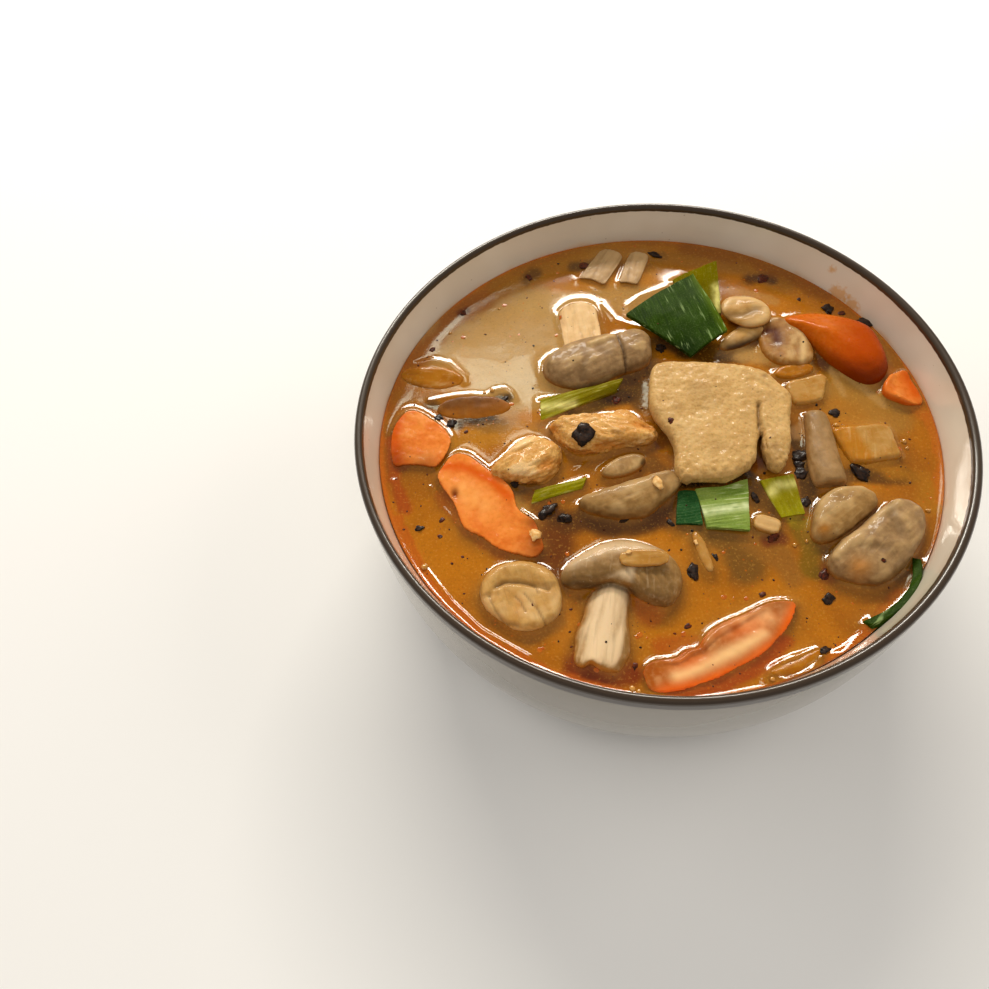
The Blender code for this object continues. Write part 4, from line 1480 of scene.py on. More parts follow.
def make_toppings() -> list[Topping]:
    """Every topping that the CAD model holds, with its own marks.

    Returns:
        The toppings.
    """
    chicken, mushroom = Slot.CHICKEN, Slot.MUSHROOM
    tomato, leek, heart, onion = Slot.TOMATO, Slot.LEEK, Slot.HEART, Slot.ONION
    return [
        ChickenSlice(
            "chicken_slice", chicken, CHICKEN, roundness=1,
            grabs=((11.5, -13.0, 4.0, -1.6, 0.0), (20.0, 4.0, 5.0, 2.0, 0.0), (-19.0, -3.0, 7.0, 1.6, 0.0),
                   (18.5, 17.0, 5.0, 1.0, 1.0), (-15.0, 22.0, 5.0, -1.0, 0.8), (-12.0, -20.0, 6.0, -1.0, 2.0),
                   (3.0, -19.0, 5.0, 0.6, 1.2)),
        ),
        PulledChicken(
            "chicken_lump", chicken, CHICKEN_GOLD, direction=25.0, fan=14.0, coarse=2.4, stretch=(1.04, 1.12),
            grabs=((-8.9, -3.5, 4.0, -2.4, 0.0), (1.0, -7.0, 6.0, 0.5, -1.2)),
        ),
        PulledChicken("chicken_shred", chicken, CHICKEN_GOLD, direction=-18.0, fan=24.0, coarse=1.3, stretch=(1.08, 1.12),
                      grabs=((8.0, 6.0, 5.0, 3.0, 1.5), (14.0, -2.0, 4.0, 2.5, 0.5), (-8.0, 4.0, 4.0, -1.5, 1.5))),
        MushroomCap(
            "mushroom_grey_cap", mushroom, MUSHROOM_GREY, direction=20.0, roundness=1, grabs=((15.0, 6.0, 6.0, 1.2, 1.8), (15.0, -5.0, 6.0, 1.0, -1.5), (-15.0, 0.0, 6.0, -1.2, 0.6),
                   (-9.0, 6.0, 5.0, 0.0, 1.2), (-6.0, -9.0, 8.0, 0.0, -1.2)),
            rim=((-2.1, 3.2), (6.6, 6.1)), rim_width=1.2,
            cracks=(((6.9, 8.0), (7.8, -1.7), (7.5, -8.4), (8.1, -12.0)),),
            dents=(((-5.1, -4.0), (-7.0, -9.0)),),
        ),
        MushroomCap(
            "mushroom_crescent", mushroom, MUSHROOM, direction=16.0, roundness=1, seed=3, grabs=((14.3, 3.3, 5.0, 3.0, -0.5), (4.0, -6.0, 8.0, 0.0, -1.5)),
            rim=((-12.0, 1.8), (-1.9, 3.6), (5.9, 4.6), (13.5, 6.4)), rim_width=2.0, rim_rise=0.6,
        ),
        MushroomCap(
            "mushroom_right_far", mushroom, MUSHROOM, direction=32.0, roundness=1, seed=5,
            rim=((-7.5, 1.0), (-3.2, 6.6), (4.0, 7.6), (9.5, 5.6)), rim_width=1.4, warm_spots=((-8.1, -5.1, 1.6),),
        ),
        MushroomCap(
            "mushroom_right_near", mushroom, MUSHROOM_GREY, direction=36.0, roundness=1, seed=7,
            grabs=((-12.0, -4.0, 7.0, -2.2, -0.8), (12.0, 6.0, 6.0, 1.5, 0.6), (0.0, -10.0, 8.0, 0.0, -1.2)),
            rim=((-14.0, -4.0), (-5.5, 2.2), (1.3, 6.2), (8.0, 9.5)), rim_width=1.5,
            dents=(((6.1, 9.5), (4.7, 4.7), (5.2, -1.1)), ((-6.0, -3.0), (0.0, -5.0))),
            warm_spots=((-9.0, -9.0, 3.0),),
        ),
        HalvedMushroom("mushroom_half", mushroom, MUSHROOM_CREAM, roundness=1, direction=100.0,
                       grabs=((-9.0, -7.0, 5.0, 1.6, 1.0), (9.5, -4.0, 5.0, 0.8, -0.6), (-9.5, 3.0, 4.0, -1.0, 0.4))),
        LargeMushroom(
            "mushroom_large", mushroom, MUSHROOM_BROAD, roundness=1, direction=75.0,
            grabs=((-10.5, 2.5, 4.0, -2.0, 0.0), (-13.0, -5.5, 4.0, -1.9, 0.0), (-14.0, -12.0, 5.0, -0.8, 0.0),
                   (-4.0, -13.0, 6.0, 2.4, 0.0), (-13.0, -17.0, 3.0, -1.2, 0.0)),
        ),
        MushroomStem("mushroom_stem_cream", mushroom, STEM_CREAM, roundness=1, rise=1.5, lean=(-0.18, -0.94), direction=88.0, warmth=0.85),
        MushroomStem("mushroom_stem_grey", mushroom, MUSHROOM_STEM, roundness=1, painted_top_light=0.12, direction=98.0, warmth=0.2, grabs=((-4.0, -4.0, 10.0, -1.1, 0.0), (4.0, -4.0, 10.0, 1.1, 0.0))),
        MushroomStem(
            "mushroom_stem_back_left", mushroom, MUSHROOM_STEM, roundness=1, stretch=(1.25, 1.15), shift=(-0.6, 0.4),
            rise=1.6, lean=(-0.2, -0.8), direction=55.0, warmth=0.4,
        ),
        MushroomStem(
            "mushroom_stem_back_right", mushroom, MUSHROOM_STEM, roundness=1, stretch=(1.2, 1.1),
            rise=1.6, lean=(-0.2, -0.8), direction=65.0, warmth=0.4,
        ),
        MushroomStem("mushroom_stem_bit", mushroom, MUSHROOM_CREAM, direction=-25.0, warmth=0.4, roundness=0, rounding=2),
        SlicedMushroom(
            "mushroom_slice_pale", mushroom, MUSHROOM_CREAM, stretch=(1.28, 1.5), shift=(0.8, 0.2), direction=0.0,
            gills=((-5.5, -1.4), (-1.0, -2.0), (3.6, -0.6)), gill_width=1.8, gill_tone=0.55,
            edge=((-6.5, 2.0), (-3.0, 5.5), (3.0, 5.5), (7.5, 1.0), (5.5, -4.5), (-1.0, -6.0)),
        ),
        SlicedMushroom(
            "mushroom_slice_cream", mushroom, MUSHROOM_CREAM, stretch=(1.35, 1.35), shift=(2.6, 1.0), direction=20.0,
            gills=((-4.0, -4.2), (2.0, -3.2), (9.0, -1.4)), gill_width=2.2, gill_tone=1.0,
        ),
        SlicedMushroom(
            "mushroom_slice_brown", mushroom, MUSHROOM_TAN, roundness=1, stretch=(1.3, 1.2), shift=(1.0, 0.6), tip=(0.04, 0.0),
            direction=80.0, gills=((-5.0, 5.5), (-1.0, 4.5), (-1.5, 0.0)), gill_width=2.2, gill_tone=1.0, edge=((5.0, 8.0), (7.0, 0.0), (4.0, -9.0)),
        ),
        SlicedMushroom("mushroom_oval_slice", mushroom, MUSHROOM, gills=((5.6, -0.4), (6.6, 0.4)), gill_width=0.7),
        SlicedMushroom("mushroom_sunk_dark", mushroom, MUSHROOM_SUNK, wetted=False, tip=(0.0, 0.16), stretch=(1.0, 0.75), shift=(0.0, 2.0)),
        TomatoWedge(
            "tomato_left", tomato, TOMATO_FLESH,
            grabs=((-5.0, -3.0, 7.0, -3.4, -2.8), (2.0, -12.0, 6.0, -2.4, -1.0), (-8.0, 16.0, 6.0, 1.0, 2.0),
                   (13.0, -1.0, 6.0, -3.6, -1.6), (16.0, -12.0, 5.0, -2.4, 0.0)), rise=2.2, lean=(0.0, -0.6),
            skin_side=((-15.5, 15.0), (-7.0, 13.8), (0.6, 7.9), (5.6, 1.0)), skin_width=1.6,
            flesh=((-5.0, 3.0, 10.0, 4.5, -48.0),), lumpy=0.2,
            pits=((-10.1, 4.5),), shaded=((13.0, -18.0, 6.0), (12.0, -9.0, 3.0)), seed=1,
        ),
        TomatoWedge(
            "tomato_wall", tomato, TOMATO_FLESH, grabs=((6.0, 0.0, 7.0, 3.5, 0.0), (-1.0, 9.5, 4.0, 0.0, 2.2), (-1.0, -12.0, 6.0, 0.0, 3.5)), rise=1.9, lean=(0.1, -0.74), skin_side=((-5.0, 9.0), (-6.5, 0.0), (-6.0, -8.0)),
            shaded=((-8.0, -9.0, 6.5), (2.0, -12.0, 5.0)), lumpy=0.15, seed=2,
        ),
        TomatoWedge(
            "tomato_front", tomato, TOMATO_PULP, grabs=((-13.0, 0.5, 5.0, 0.0, -2.6), (-7.0, 3.0, 3.5, 0.0, -2.4), (20.0, -1.0, 4.0, 0.8, 1.6)), rise=1.9, lean=(-0.27, -0.35),
            skin_side=((21.2, 6.6), (15.2, -1.4), (3.3, -7.3), (-8.6, -10.3), (-18.5, -11.3)), skin_width=2.6,
            bands=((10.0, 1.5), (4.0, -1.4), (-4.0, -4.2), (-14.0, -7.0)), band_width=2.3,
            pulp=((7.0, 4.0, 9.0, 3.0, 12.0), (-10.0, -3.5, 6.0, 2.0, 12.0)), flesh=((9.0, 5.0, 9.0, 2.5, 10.0),), seed=3,
        ),
        TomatoSkin("tomato_right", tomato, TOMATO, roundness=1, grabs=((-12.0, 15.0, 5.0, -1.5, 1.0), (11.0, 6.0, 6.0, 1.2, 0.6))),
        TomatoWedge("tomato_bit", tomato, TOMATO_FLESH, grabs=((-3.0, 0.0, 5.0, -4.0, -1.5), (3.0, 3.0, 4.0, 1.5, 2.5), (2.0, -4.0, 5.0, 1.2, -3.0)), skin_side=((2.0, 4.0), (2.0, -4.0)), seed=4),
        Leaf(
            "leek_square", leek, LEEK, direction=-82.0, margin=((10.1, 17.0), (12.6, 3.4), (14.5, -8.0)), margin_width=1.6,
            shaded=((0.0, -14.0, 5.0),), cuts=24,
        ),
        Leaf(
            "leek_back", heart, LEEK_OLIVE, direction=80.0, rib_pitch=1.6, strength=0.15, cuts=14,
            pale=(((5.2, 0.1), (3.2, -9.8)),),
        ),
        Leaf(
            "leek_strip_left", heart, HEART, direction=14.0, rib_pitch=1.5, cuts=16,
            pale=(((-13.0, -1.0), (-3.0, -1.4)),), shaded=((8.0, -3.0, 7.0),),
        ),
        Leaf("leek_strip_low", heart, HEART, direction=11.0, rib_pitch=1.4, strength=0.4, cuts=12),
        Leaf("leek_dark", leek, replace(LEEK, name="blue-green leek", base=colour(40, 84, 40), mottle=colour(28, 66, 28)),
             direction=0.0, rib_pitch=0.9, cuts=12, grabs=((1.0, 5.0, 6.0, 1.0, 2.2),)),
        Leaf(
            "leek_light", leek,
            replace(LEEK, name="light leek", base=colour(130, 148, 66), mottle=colour(104, 130, 44),
                    pale=colour(206, 214, 160), dark=colour(60, 92, 24)),
            direction=0.0, rib_pitch=1.1, cuts=14, pale=(((-6.8, 0.9), (6.1, 0.9)),),
            grabs=((7.0, 7.0, 7.0, 1.2, 3.2), (-6.0, 7.0, 6.0, -0.4, 2.2)),
        ),
        Leaf(
            "leek_curl", heart, HEART, rise=1.5, grabs=((0.0, 0.0, 40.0, 0.5, 2.4),), direction=95.0, rib_pitch=1.5, strength=0.4, cuts=12,
            pale=(((-3.0, 3.2), (0.0, 5.6), (4.5, 5.6)),),
        ),
        Leaf("leek_wall_strip", leek, LEEK, direction=38.0, rib_pitch=0.9, cuts=8, widen=2.4, lean_up=0.6),
        OnionPiece("onion_square", onion, ONION, direction=5.0, stretch=(1.0, 0.95)),
        OnionPiece("onion_lens", onion, ONION_AMBER, direction=4.0),
        OnionPiece("onion_heart", onion, ONION, direction=75.0, warm_side=((-0.5, -7.0), (-2.5, 7.0)), rounding=1,
                   grabs=((7.0, 5.5, 3.5, 1.6, 1.2), (7.0, -5.5, 3.5, 1.0, -1.2), (-7.0, 5.0, 3.5, -1.2, 1.0), (-7.0, -5.0, 3.5, -1.0, -1.0))),
        OnionPiece("onion_cap_slice", onion, ONION, direction=-6.0, cell=0.25, swell=0.1),
        OnionPiece("onion_sliver", onion, ONION, direction=96.0),
        OnionPiece("onion_sunk_left", onion, ONION_AMBER, wetted=False, direction=-14.0, tip=(0.0, 0.16), grabs=((-8.0, 1.0, 4.0, -2.5, 1.5),)),
        OnionPiece("onion_front", onion, ONION_AMBER, rise=0.9, direction=15.0, grabs=((6.0, 1.5, 4.0, 1.2, 0.6), (0.0, -2.0, 6.0, 0.0, -1.2))),
    ]


# --- Broth ---------------------------------------------------------------------------------------------


@dataclass(frozen=True)
class SunkAndPaintedLight:
    """Something under the surface of the broth, seen as a soft mark of its colour along a path; some marks are painted
    shadows instead, and a few a painted milky reflection.
    """

    tone: Colour
    width: float
    path: tuple[Plan, ...]
    strength: float = 0.85
    ragged: float = 0.35


BLACK, BROWN, RUST = colour(38, 22, 12), colour(70, 38, 6), colour(108, 46, 4)
OLIVE, TAN, AMBER = colour(104, 68, 6), colour(184, 134, 62), colour(186, 112, 8)
ORANGE = colour(196, 92, 6)
SUNK_AND_PAINTED_LIGHT = (
    # far left: painted milky reflection on the broth
    SunkAndPaintedLight(colour(184, 144, 80), 14.0, ((-60, 48), (-50, 50), (-36, 56), (-34, 40), (-46, 34), (-42, 27), (-34, 24), (-27, 32), (-22, 54)), 0.8, 0.2),
    SunkAndPaintedLight(colour(184, 144, 80), 8.0, ((-28, 62), (-4, 60), (6, 54), (18, 60)), 0.7, 0.2),
    # far left: red-brown along the wall, the leaf of onion, the dark skin behind the chicken
    SunkAndPaintedLight(colour(156, 84, 4), 4.5, ((-80, 22), (-72, 40), (-58, 57), (-40, 69)), 0.85),
    SunkAndPaintedLight(colour(166, 106, 16), 5.0, ((-40, 70), (-24, 75), (-8, 78), (6, 79)), 0.85),
    SunkAndPaintedLight(BROWN, 3.2, ((-29, 73), (-26, 74)), 0.7),
    SunkAndPaintedLight(BLACK, 3.4, ((-10, 76), (-5, 75)), 0.75),
    SunkAndPaintedLight(RUST, 1.8, ((-54, 60), (-52, 61)), 0.9),
    SunkAndPaintedLight(AMBER, 4.0, ((-20, 68), (-10, 67), (2, 66), (14, 64)), 0.7),
    SunkAndPaintedLight(colour(150, 92, 8), 5.0, ((-76, 27), (-64, 22), (-56, 19)), 0.8),
    SunkAndPaintedLight(colour(176, 112, 16), 5.5, ((-72, 34), (-64, 33), (-58, 29)), 0.8),
    SunkAndPaintedLight(colour(84, 52, 14), 4.0, ((-66, 19), (-56, 14), (-46, 10)), 0.9),
    SunkAndPaintedLight(colour(176, 96, 8), 1.8, ((-70, 19), (-60, 15.5)), 0.7),
    SunkAndPaintedLight(colour(56, 28, 4), 4.6, ((-54, 14), (-50, 12)), 0.95),
    SunkAndPaintedLight(BLACK, 2.4, ((-45, 20.5), (-43, 20)), 0.85),
    SunkAndPaintedLight(BLACK, 2.0, ((-61, 12.5), (-59, 12)), 0.8),
    # painted milky reflection at the dark piece's edge
    SunkAndPaintedLight(colour(176, 128, 80), 3.2, ((-44, 14), (-38, 10), (-33, 5)), 0.55),
    SunkAndPaintedLight(colour(186, 124, 22), 5.0, ((-60, 4), (-48, 6), (-38, 5)), 0.6),
    # painted shadow under the leek strip
    SunkAndPaintedLight(colour(74, 50, 4), 4.2, ((-22, 10.5), (-12, 13.5), (0, 16)), 0.95),
    SunkAndPaintedLight(colour(50, 20, 8), 2.8, ((-9, 14), (-5, 14)), 0.9),
    SunkAndPaintedLight(colour(80, 50, 14), 5.0, ((-2, 22), (4, 30), (6, 20), (0, 12)), 0.85),
    SunkAndPaintedLight(AMBER, 3.4, ((-37, 12), (-33, 11)), 0.8),
    # far right: skins against the wall, gills between the slices
    SunkAndPaintedLight(BLACK, 2.8, ((17, 76), (20, 75)), 0.8),
    SunkAndPaintedLight(colour(156, 98, 8), 6.0, ((14, 74), (30, 72), (46, 64), (58, 54)), 0.8),
    SunkAndPaintedLight(colour(70, 34, 8), 3.4, ((48, 58.5), (54, 57.5)), 0.85),
    SunkAndPaintedLight(colour(146, 80, 0), 3.6, ((30, 77), (48, 69), (62, 57), (70, 46)), 0.75),
    # painted milky reflection
    SunkAndPaintedLight(colour(186, 140, 74), 2.0, ((40, 54), (46, 51.5), (53, 46.5)), 0.45),
    SunkAndPaintedLight(colour(80, 50, 30), 3.4, ((9, 36), (14, 34), (17, 31)), 0.9),
    # painted shadow below the leek square
    SunkAndPaintedLight(colour(64, 40, 8), 4.6, ((18, 29), (28, 27), (36, 26)), 0.9),
    SunkAndPaintedLight(colour(112, 86, 54), 2.4, ((30, 27), (33, 26)), 0.8),
    SunkAndPaintedLight(colour(66, 26, 8), 3.0, ((36, 30), (43, 31), (49, 31)), 0.95),
    SunkAndPaintedLight(colour(196, 150, 82), 3.6, ((36, 25), (44, 23), (50, 20)), 0.8),
    SunkAndPaintedLight(colour(186, 140, 72), 6.0, ((50, 34), (54, 26), (52, 20)), 0.75),
    SunkAndPaintedLight(colour(84, 42, 8), 3.0, ((57, 24), (59, 17), (61, 13)), 0.9),
    SunkAndPaintedLight(colour(168, 122, 46), 7.0, ((60, 8), (68, 4), (72, -6)), 0.7),
    SunkAndPaintedLight(colour(196, 150, 84), 1.2, ((61, 14), (62, 4)), 0.5),
    SunkAndPaintedLight(colour(196, 154, 90), 1.4, ((64, 12), (69, 5), (72, -2)), 0.5),
    SunkAndPaintedLight(colour(196, 104, 10), 2.4, ((78, 12), (81, 2), (82, -8)), 0.6),
    # right: softened onion and its shadows
    SunkAndPaintedLight(colour(60, 40, 12), 3.0, ((40, -6), (42, -14), (41, -24), (39, -34)), 0.85),
    SunkAndPaintedLight(colour(200, 150, 92), 2.2, ((43, -8), (46, -6)), 0.7),
    SunkAndPaintedLight(colour(172, 116, 36), 5.0, ((58, -2), (66, -5), (74, -10)), 0.7),
    SunkAndPaintedLight(colour(200, 128, 18), 4.6, ((56, -13), (58, -18), (64, -21)), 0.8),
    SunkAndPaintedLight(colour(52, 32, 8), 2.8, ((52, -25), (60, -27), (70, -27.5)), 0.75),
    SunkAndPaintedLight(colour(176, 112, 12), 4.0, ((66, -25), (74, -30), (72, -38)), 0.8),
    SunkAndPaintedLight(colour(196, 102, 12), 1.7, ((83, -8), (81, -24), (75, -38)), 0.7),
    SunkAndPaintedLight(colour(96, 60, 10), 2.6, ((38, -45), (40, -56), (48, -60), (58, -56)), 0.85),
    SunkAndPaintedLight(RUST, 2.6, ((35, -54), (38, -56)), 0.85),
    # middle: between the caps, under the chicken, under the leeks
    # painted shadow under the chicken's near edge
    SunkAndPaintedLight(colour(26, 16, 8), 2.6, ((4, -20.5), (14, -21.5), (24, -20.5)), 0.95),
    SunkAndPaintedLight(colour(112, 46, 4), 2.4, ((27, -18), (30, -16)), 0.85),
    SunkAndPaintedLight(colour(70, 44, 8), 4.0, ((25, -24), (26, -32), (24, -38)), 0.8),
    # painted shadows beside the tomato's end and between the crescent and the large cap
    SunkAndPaintedLight(colour(104, 50, 2), 6.5, ((-37, -27), (-34, -36), (-37, -42)), 0.95),
    SunkAndPaintedLight(colour(88, 48, 6), 4.2, ((-34, -26), (-22, -31), (-8, -32), (2, -30)), 0.95),
    SunkAndPaintedLight(colour(168, 118, 46), 3.0, ((-45, -17), (-43, -22)), 0.9),
    SunkAndPaintedLight(colour(70, 40, 8), 2.6, ((-50, -12), (-44, -15), (-38, -14)), 0.8),
    SunkAndPaintedLight(colour(84, 50, 10), 3.0, ((-2, -12), (2, -20), (2, -28)), 0.7),
    SunkAndPaintedLight(colour(90, 30, 6), 2.6, ((2, -5), (6, -2)), 0.8),
    SunkAndPaintedLight(colour(112, 76, 20), 5.0, ((6, -36), (14, -41), (16, -50)), 0.85),
    SunkAndPaintedLight(colour(148, 96, 28), 4.4, ((20, -42), (26, -47), (27, -54)), 0.75),
    SunkAndPaintedLight(colour(112, 44, 6), 2.2, ((24, -42.5), (28, -42.5)), 0.95, 0.2),
    SunkAndPaintedLight(colour(176, 152, 8), 3.0, ((33, -34), (34, -38)), 0.8),
    SunkAndPaintedLight(colour(118, 92, 2), 3.2, ((34, -40), (35, -47), (33, -53)), 0.75),
    # near side
    # painted shadow under the front tomato's near edge
    SunkAndPaintedLight(colour(160, 58, 2), 2.4, ((-12, -83), (2, -81.5), (12, -78), (20, -72.5)), 0.85),
    SunkAndPaintedLight(colour(176, 80, 4), 3.0, ((-12, -69), (-4, -69.5)), 0.7),
    SunkAndPaintedLight(colour(176, 88, 4), 3.6, ((-14, -54), (-13, -60)), 0.85),
    SunkAndPaintedLight(colour(176, 106, 14), 3.0, ((-35, -54), (-38, -62)), 0.7),
    SunkAndPaintedLight(colour(120, 42, 0), 4.2, ((-35, -72), (-28, -76), (-22, -76)), 0.95),
    # painted shadow beside the half cap
    SunkAndPaintedLight(colour(150, 96, 28), 2.6, ((-36, -48), (-38, -58), (-46, -62)), 0.7),
    SunkAndPaintedLight(colour(168, 70, 4), 2.6, ((-80, 8), (-80, -6), (-78, -16)), 0.85),
    SunkAndPaintedLight(colour(120, 44, 4), 2.4, ((-79, 2), (-77, -1)), 0.8),
    SunkAndPaintedLight(ORANGE, 1.6, ((-80, -20), (-72, -42), (-58, -61), (-42, -73), (-24, -81)), 0.7),
    SunkAndPaintedLight(ORANGE, 2.0, ((30, -79), (44, -71), (54, -64)), 0.6),
    SunkAndPaintedLight(colour(150, 70, 6), 2.4, ((-66, -14), (-60, -27), (-50, -36)), 0.7),
)


RIDGES = (  # height, half width and path of each small swell in the surface
    (0.3, 0.75, ((-69.5, -10.0), (-66.5, -18.0), (-62.5, -24.0), (-57.0, -30.0), (-53.0, -33.5))),
    (0.31, 1.2, ((27.5, -78.0), (33.0, -77.2), (40.0, -73.0), (44.5, -67.5), (49.0, -63.5))),
    (0.3, 1.2, ((12.0, -82.0), (15.0, -78.5), (20.0, -76.8), (26.0, -76.8))),
    (0.32, 0.75, ((-80.5, -6.0), (-78.0, -20.0), (-73.5, -36.0), (-66.0, -49.0), (-59.0, -58.0), (-47.0, -67.5))),
    (0.3, 1.2, ((-50.5, -8.0), (-46.5, -14.5), (-41.0, -16.8), (-33.0, -13.2), (-24.0, -10.6), (-16.0, -6.6), (-9.0, -4.2))),
    (0.3, 1.2, ((-9.0, -4.2), (-4.5, -5.0), (-1.5, -8.8), (3.0, -9.4))),
    (0.24, 1.2, ((-67.0, 23.3), (-60.0, 24.0), (-54.0, 23.6), (-49.0, 22.4), (-46.0, 24.2), (-43.0, 24.3), (-41.0, 22.0), (-40.5, 19.5))),
    (0.22, 1.2, ((-71.0, 39.5), (-65.0, 40.4), (-60.0, 38.2), (-57.5, 34.5), (-55.5, 31.5), (-55.2, 29.0))),
    (0.2, 1.2, ((2.5, 48.5), (4.0, 54.0), (9.0, 57.5), (18.0, 60.0))),
    (0.2, 1.2, ((-5.0, 56.0), (-2.0, 48.0), (2.0, 45.0), (8.0, 42.0), (12.5, 35.0))),
    (0.32, 0.75, ((3.0, 27.0), (6.0, 22.5), (8.5, 18.0))),
    (0.32, 0.75, ((11.0, 27.5), (18.0, 26.0), (27.0, 23.0))),
    (0.32, 0.75, ((47.0, 19.0), (52.0, 17.5), (54.0, 16.5))),
)


@dataclass
class Broth:
    """The broth: a level surface that climbs a little up everything it wets, over a body that fills the bowl."""

    bowl: Bowl
    cells: int = 294
    gap: float = 0.1
    climb: float = 0.95
    climb_reach: float = 1.35
    wall_climb: float = 1.3
    wall_reach: float = 2.2
    finish: BrothFinish = field(default_factory=BrothFinish)

    def build(self, toppings: Sequence[bpy.types.Object]) -> bpy.types.Object:
        """Makes the broth round the finished toppings.

        Args:
            toppings: every piece that the broth may wet.

        Returns:
            The broth.
        """
        radius = self.bowl.broth_radius() - self.gap
        bpy.ops.object.select_all(action="DESELECT")
        bpy.ops.mesh.primitive_grid_add(x_subdivisions=self.cells, y_subdivisions=self.cells, size=2.0)
        broth = bpy.context.active_object
        broth.name = broth.data.name = "broth_body"
        self.round_off(broth, radius)
        top = len(broth.data.vertices)
        self.fill_bowl(broth)
        self.climb_walls(broth, top, radius, toppings)
        hand_over(broth, Slot.BROTH, self.finish.material(), "broth")
        return broth

    def round_off(self, broth: bpy.types.Object, radius: float) -> None:
        """Draws the square grid into a disc at the broth's level."""
        flat = np.empty(len(broth.data.vertices) * 3, np.float32)
        broth.data.vertices.foreach_get("co", flat)
        square = flat.reshape(-1, 3).astype(float)
        disc = square.copy()
        disc[:, 0] = square[:, 0] * np.sqrt(1 - square[:, 1] ** 2 / 2) * radius * MM
        disc[:, 1] = square[:, 1] * np.sqrt(1 - square[:, 0] ** 2 / 2) * radius * MM
        disc[:, 2] = LEVEL * MM
        broth.data.vertices.foreach_set("co", disc.astype(np.float32).ravel())
        broth.data.update()

    def fill_bowl(self, broth: bpy.types.Object) -> None:
        """Extrudes the rim of the surface down the wall in steps, and closes the floor."""
        wall = self.bowl.inner_wall(self.gap)[1:]
        with editing(broth, "DESELECT"):
            bpy.ops.mesh.select_mode(type="EDGE")
            bpy.ops.mesh.select_non_manifold()
            last, height = wall[0][0] + self.gap, LEVEL
            last = self.bowl.broth_radius() - self.gap
            for radius, z in wall[::3]:
                bpy.ops.mesh.extrude_region_move(TRANSFORM_OT_translate={"value": (0.0, 0.0, (z - height) * MM)})
                share = radius / last
                bpy.ops.transform.resize(value=(share, share, 1.0), center_override=(0.0, 0.0, 0.0))
                last, height = radius, z
            bpy.ops.mesh.edge_face_add()
            bpy.ops.mesh.select_all(action="SELECT")
            bpy.ops.mesh.normals_make_consistent(inside=False)

    def climb_walls(
        self, broth: bpy.types.Object, top: int, radius: float, toppings: Sequence[bpy.types.Object]
    ) -> None:
        """Raises the surface where it meets the wall and the toppings, and paints on it what lies under it, painted
        shade round the toppings, painted shadows and a painted milky reflection.

        Args:
            broth: the closed body of broth.
            top: how many of its points are the surface's.
            radius: the surface's radius.
            toppings: every piece that the broth may wet.
        """
        mesh = broth.data
        flat = np.empty(len(mesh.vertices) * 3, np.float32)
        mesh.vertices.foreach_get("co", flat)
        points = flat.reshape(-1, 3).astype(float) / MM
        surface = points[:top]
        near, reach = self.wetting(surface, toppings)
        # measured a little beyond each point, so that painted shadow falls on the camera's side of each topping
        behind = self.wetting(surface + np.array((0.6, 2.4, 0.0)), toppings)[0]
        to_wall = radius - np.linalg.norm(surface[:, :2], axis=1)
        rise = reach * np.exp(-near / self.climb_reach)
        wall_rise = self.wall_climb * np.exp(-to_wall / self.wall_reach)
        ripple = cloud(surface, 18.0, 101, 2) * 0.08
        height = rise + wall_rise * (1 - 0.5 * rise / self.climb) + ripple
        for swell, width, path in RIDGES:
            height += swell * np.exp(-((run_from(surface[:, :2], path)[0] / width) ** 2))
        surface[:, 2] = LEVEL + height
        mesh.vertices.foreach_set("co", (points * MM).astype(np.float32).ravel())
        mesh.update()
        count = len(points)
        uneven = cloud(surface, 14.0, 102)
        left = eased(-surface[:, 0], 30.0, 75.0)
        oil = np.zeros(count)
        oil[:top] = np.exp(-to_wall / (0.9 + 1.1 * left + 0.4 * uneven)) * (0.75 + 0.25 * left + 0.3 * uneven)
        # painted shade: at each topping's foot, as a shadow on its near side, and towards the far side
        painted_shade = np.zeros(count)
        painted_shade[:top] = np.exp(-near / 1.2) * 0.22 + np.exp(-behind / 2.2) * 0.58
        painted_shade[:top] += eased(surface[:, 1], 40.0, 66.0) * 0.1
        halo = np.zeros(count)
        halo[:top] = np.exp(-near / 1.7) * (0.45 + 0.6 * cloud(surface, 7.0, 103)) * (1 - painted_shade[:top])
        sunk = np.zeros((count, 4))
        # sunk things, painted shadows and the painted milky reflection
        for number, thing in enumerate(SUNK_AND_PAINTED_LIGHT):
            self.lay(sunk[:top], surface, thing, number)
        self.store(mesh, "oil", oil)
        self.store(mesh, "painted_shade", painted_shade)
        self.store(mesh, "halo", halo)
        layer = mesh.attributes.new("sunk", "FLOAT_COLOR", "POINT")
        layer.data.foreach_set("color", sunk.astype(np.float32).ravel())

    @staticmethod
    def lay(sunk: np.ndarray, surface: np.ndarray, thing: SunkAndPaintedLight, number: int) -> None:
        """Lays one mark's colour over what is already there: a sunk thing's, a painted shadow's, a painted
        reflection's.
        """
        ragged = cloud(surface, 1.6 * thing.width, number, 3) * thing.ragged
        far = run_from(surface[:, :2], thing.path)[0] / thing.width + ragged
        amount = eased(-far, -1.3, -0.4) * thing.strength
        old = sunk[:, 3].copy()
        total = np.maximum(old + amount * (1 - old), 1e-6)
        share = (amount / total)[:, None]
        sunk[:, :3] = sunk[:, :3] * (1 - share) + np.array(thing.tone) * 0.85 * share
        sunk[:, 3] = old + amount * (1 - old)

    @staticmethod
    def store(mesh: bpy.types.Mesh, name: str, amount: np.ndarray) -> None:
        """Writes a mask to the mesh."""
        layer = mesh.attributes.new(name, "FLOAT", "POINT")
        layer.data.foreach_set("value", np.clip(amount, 0.0, 1.0).astype(np.float32))

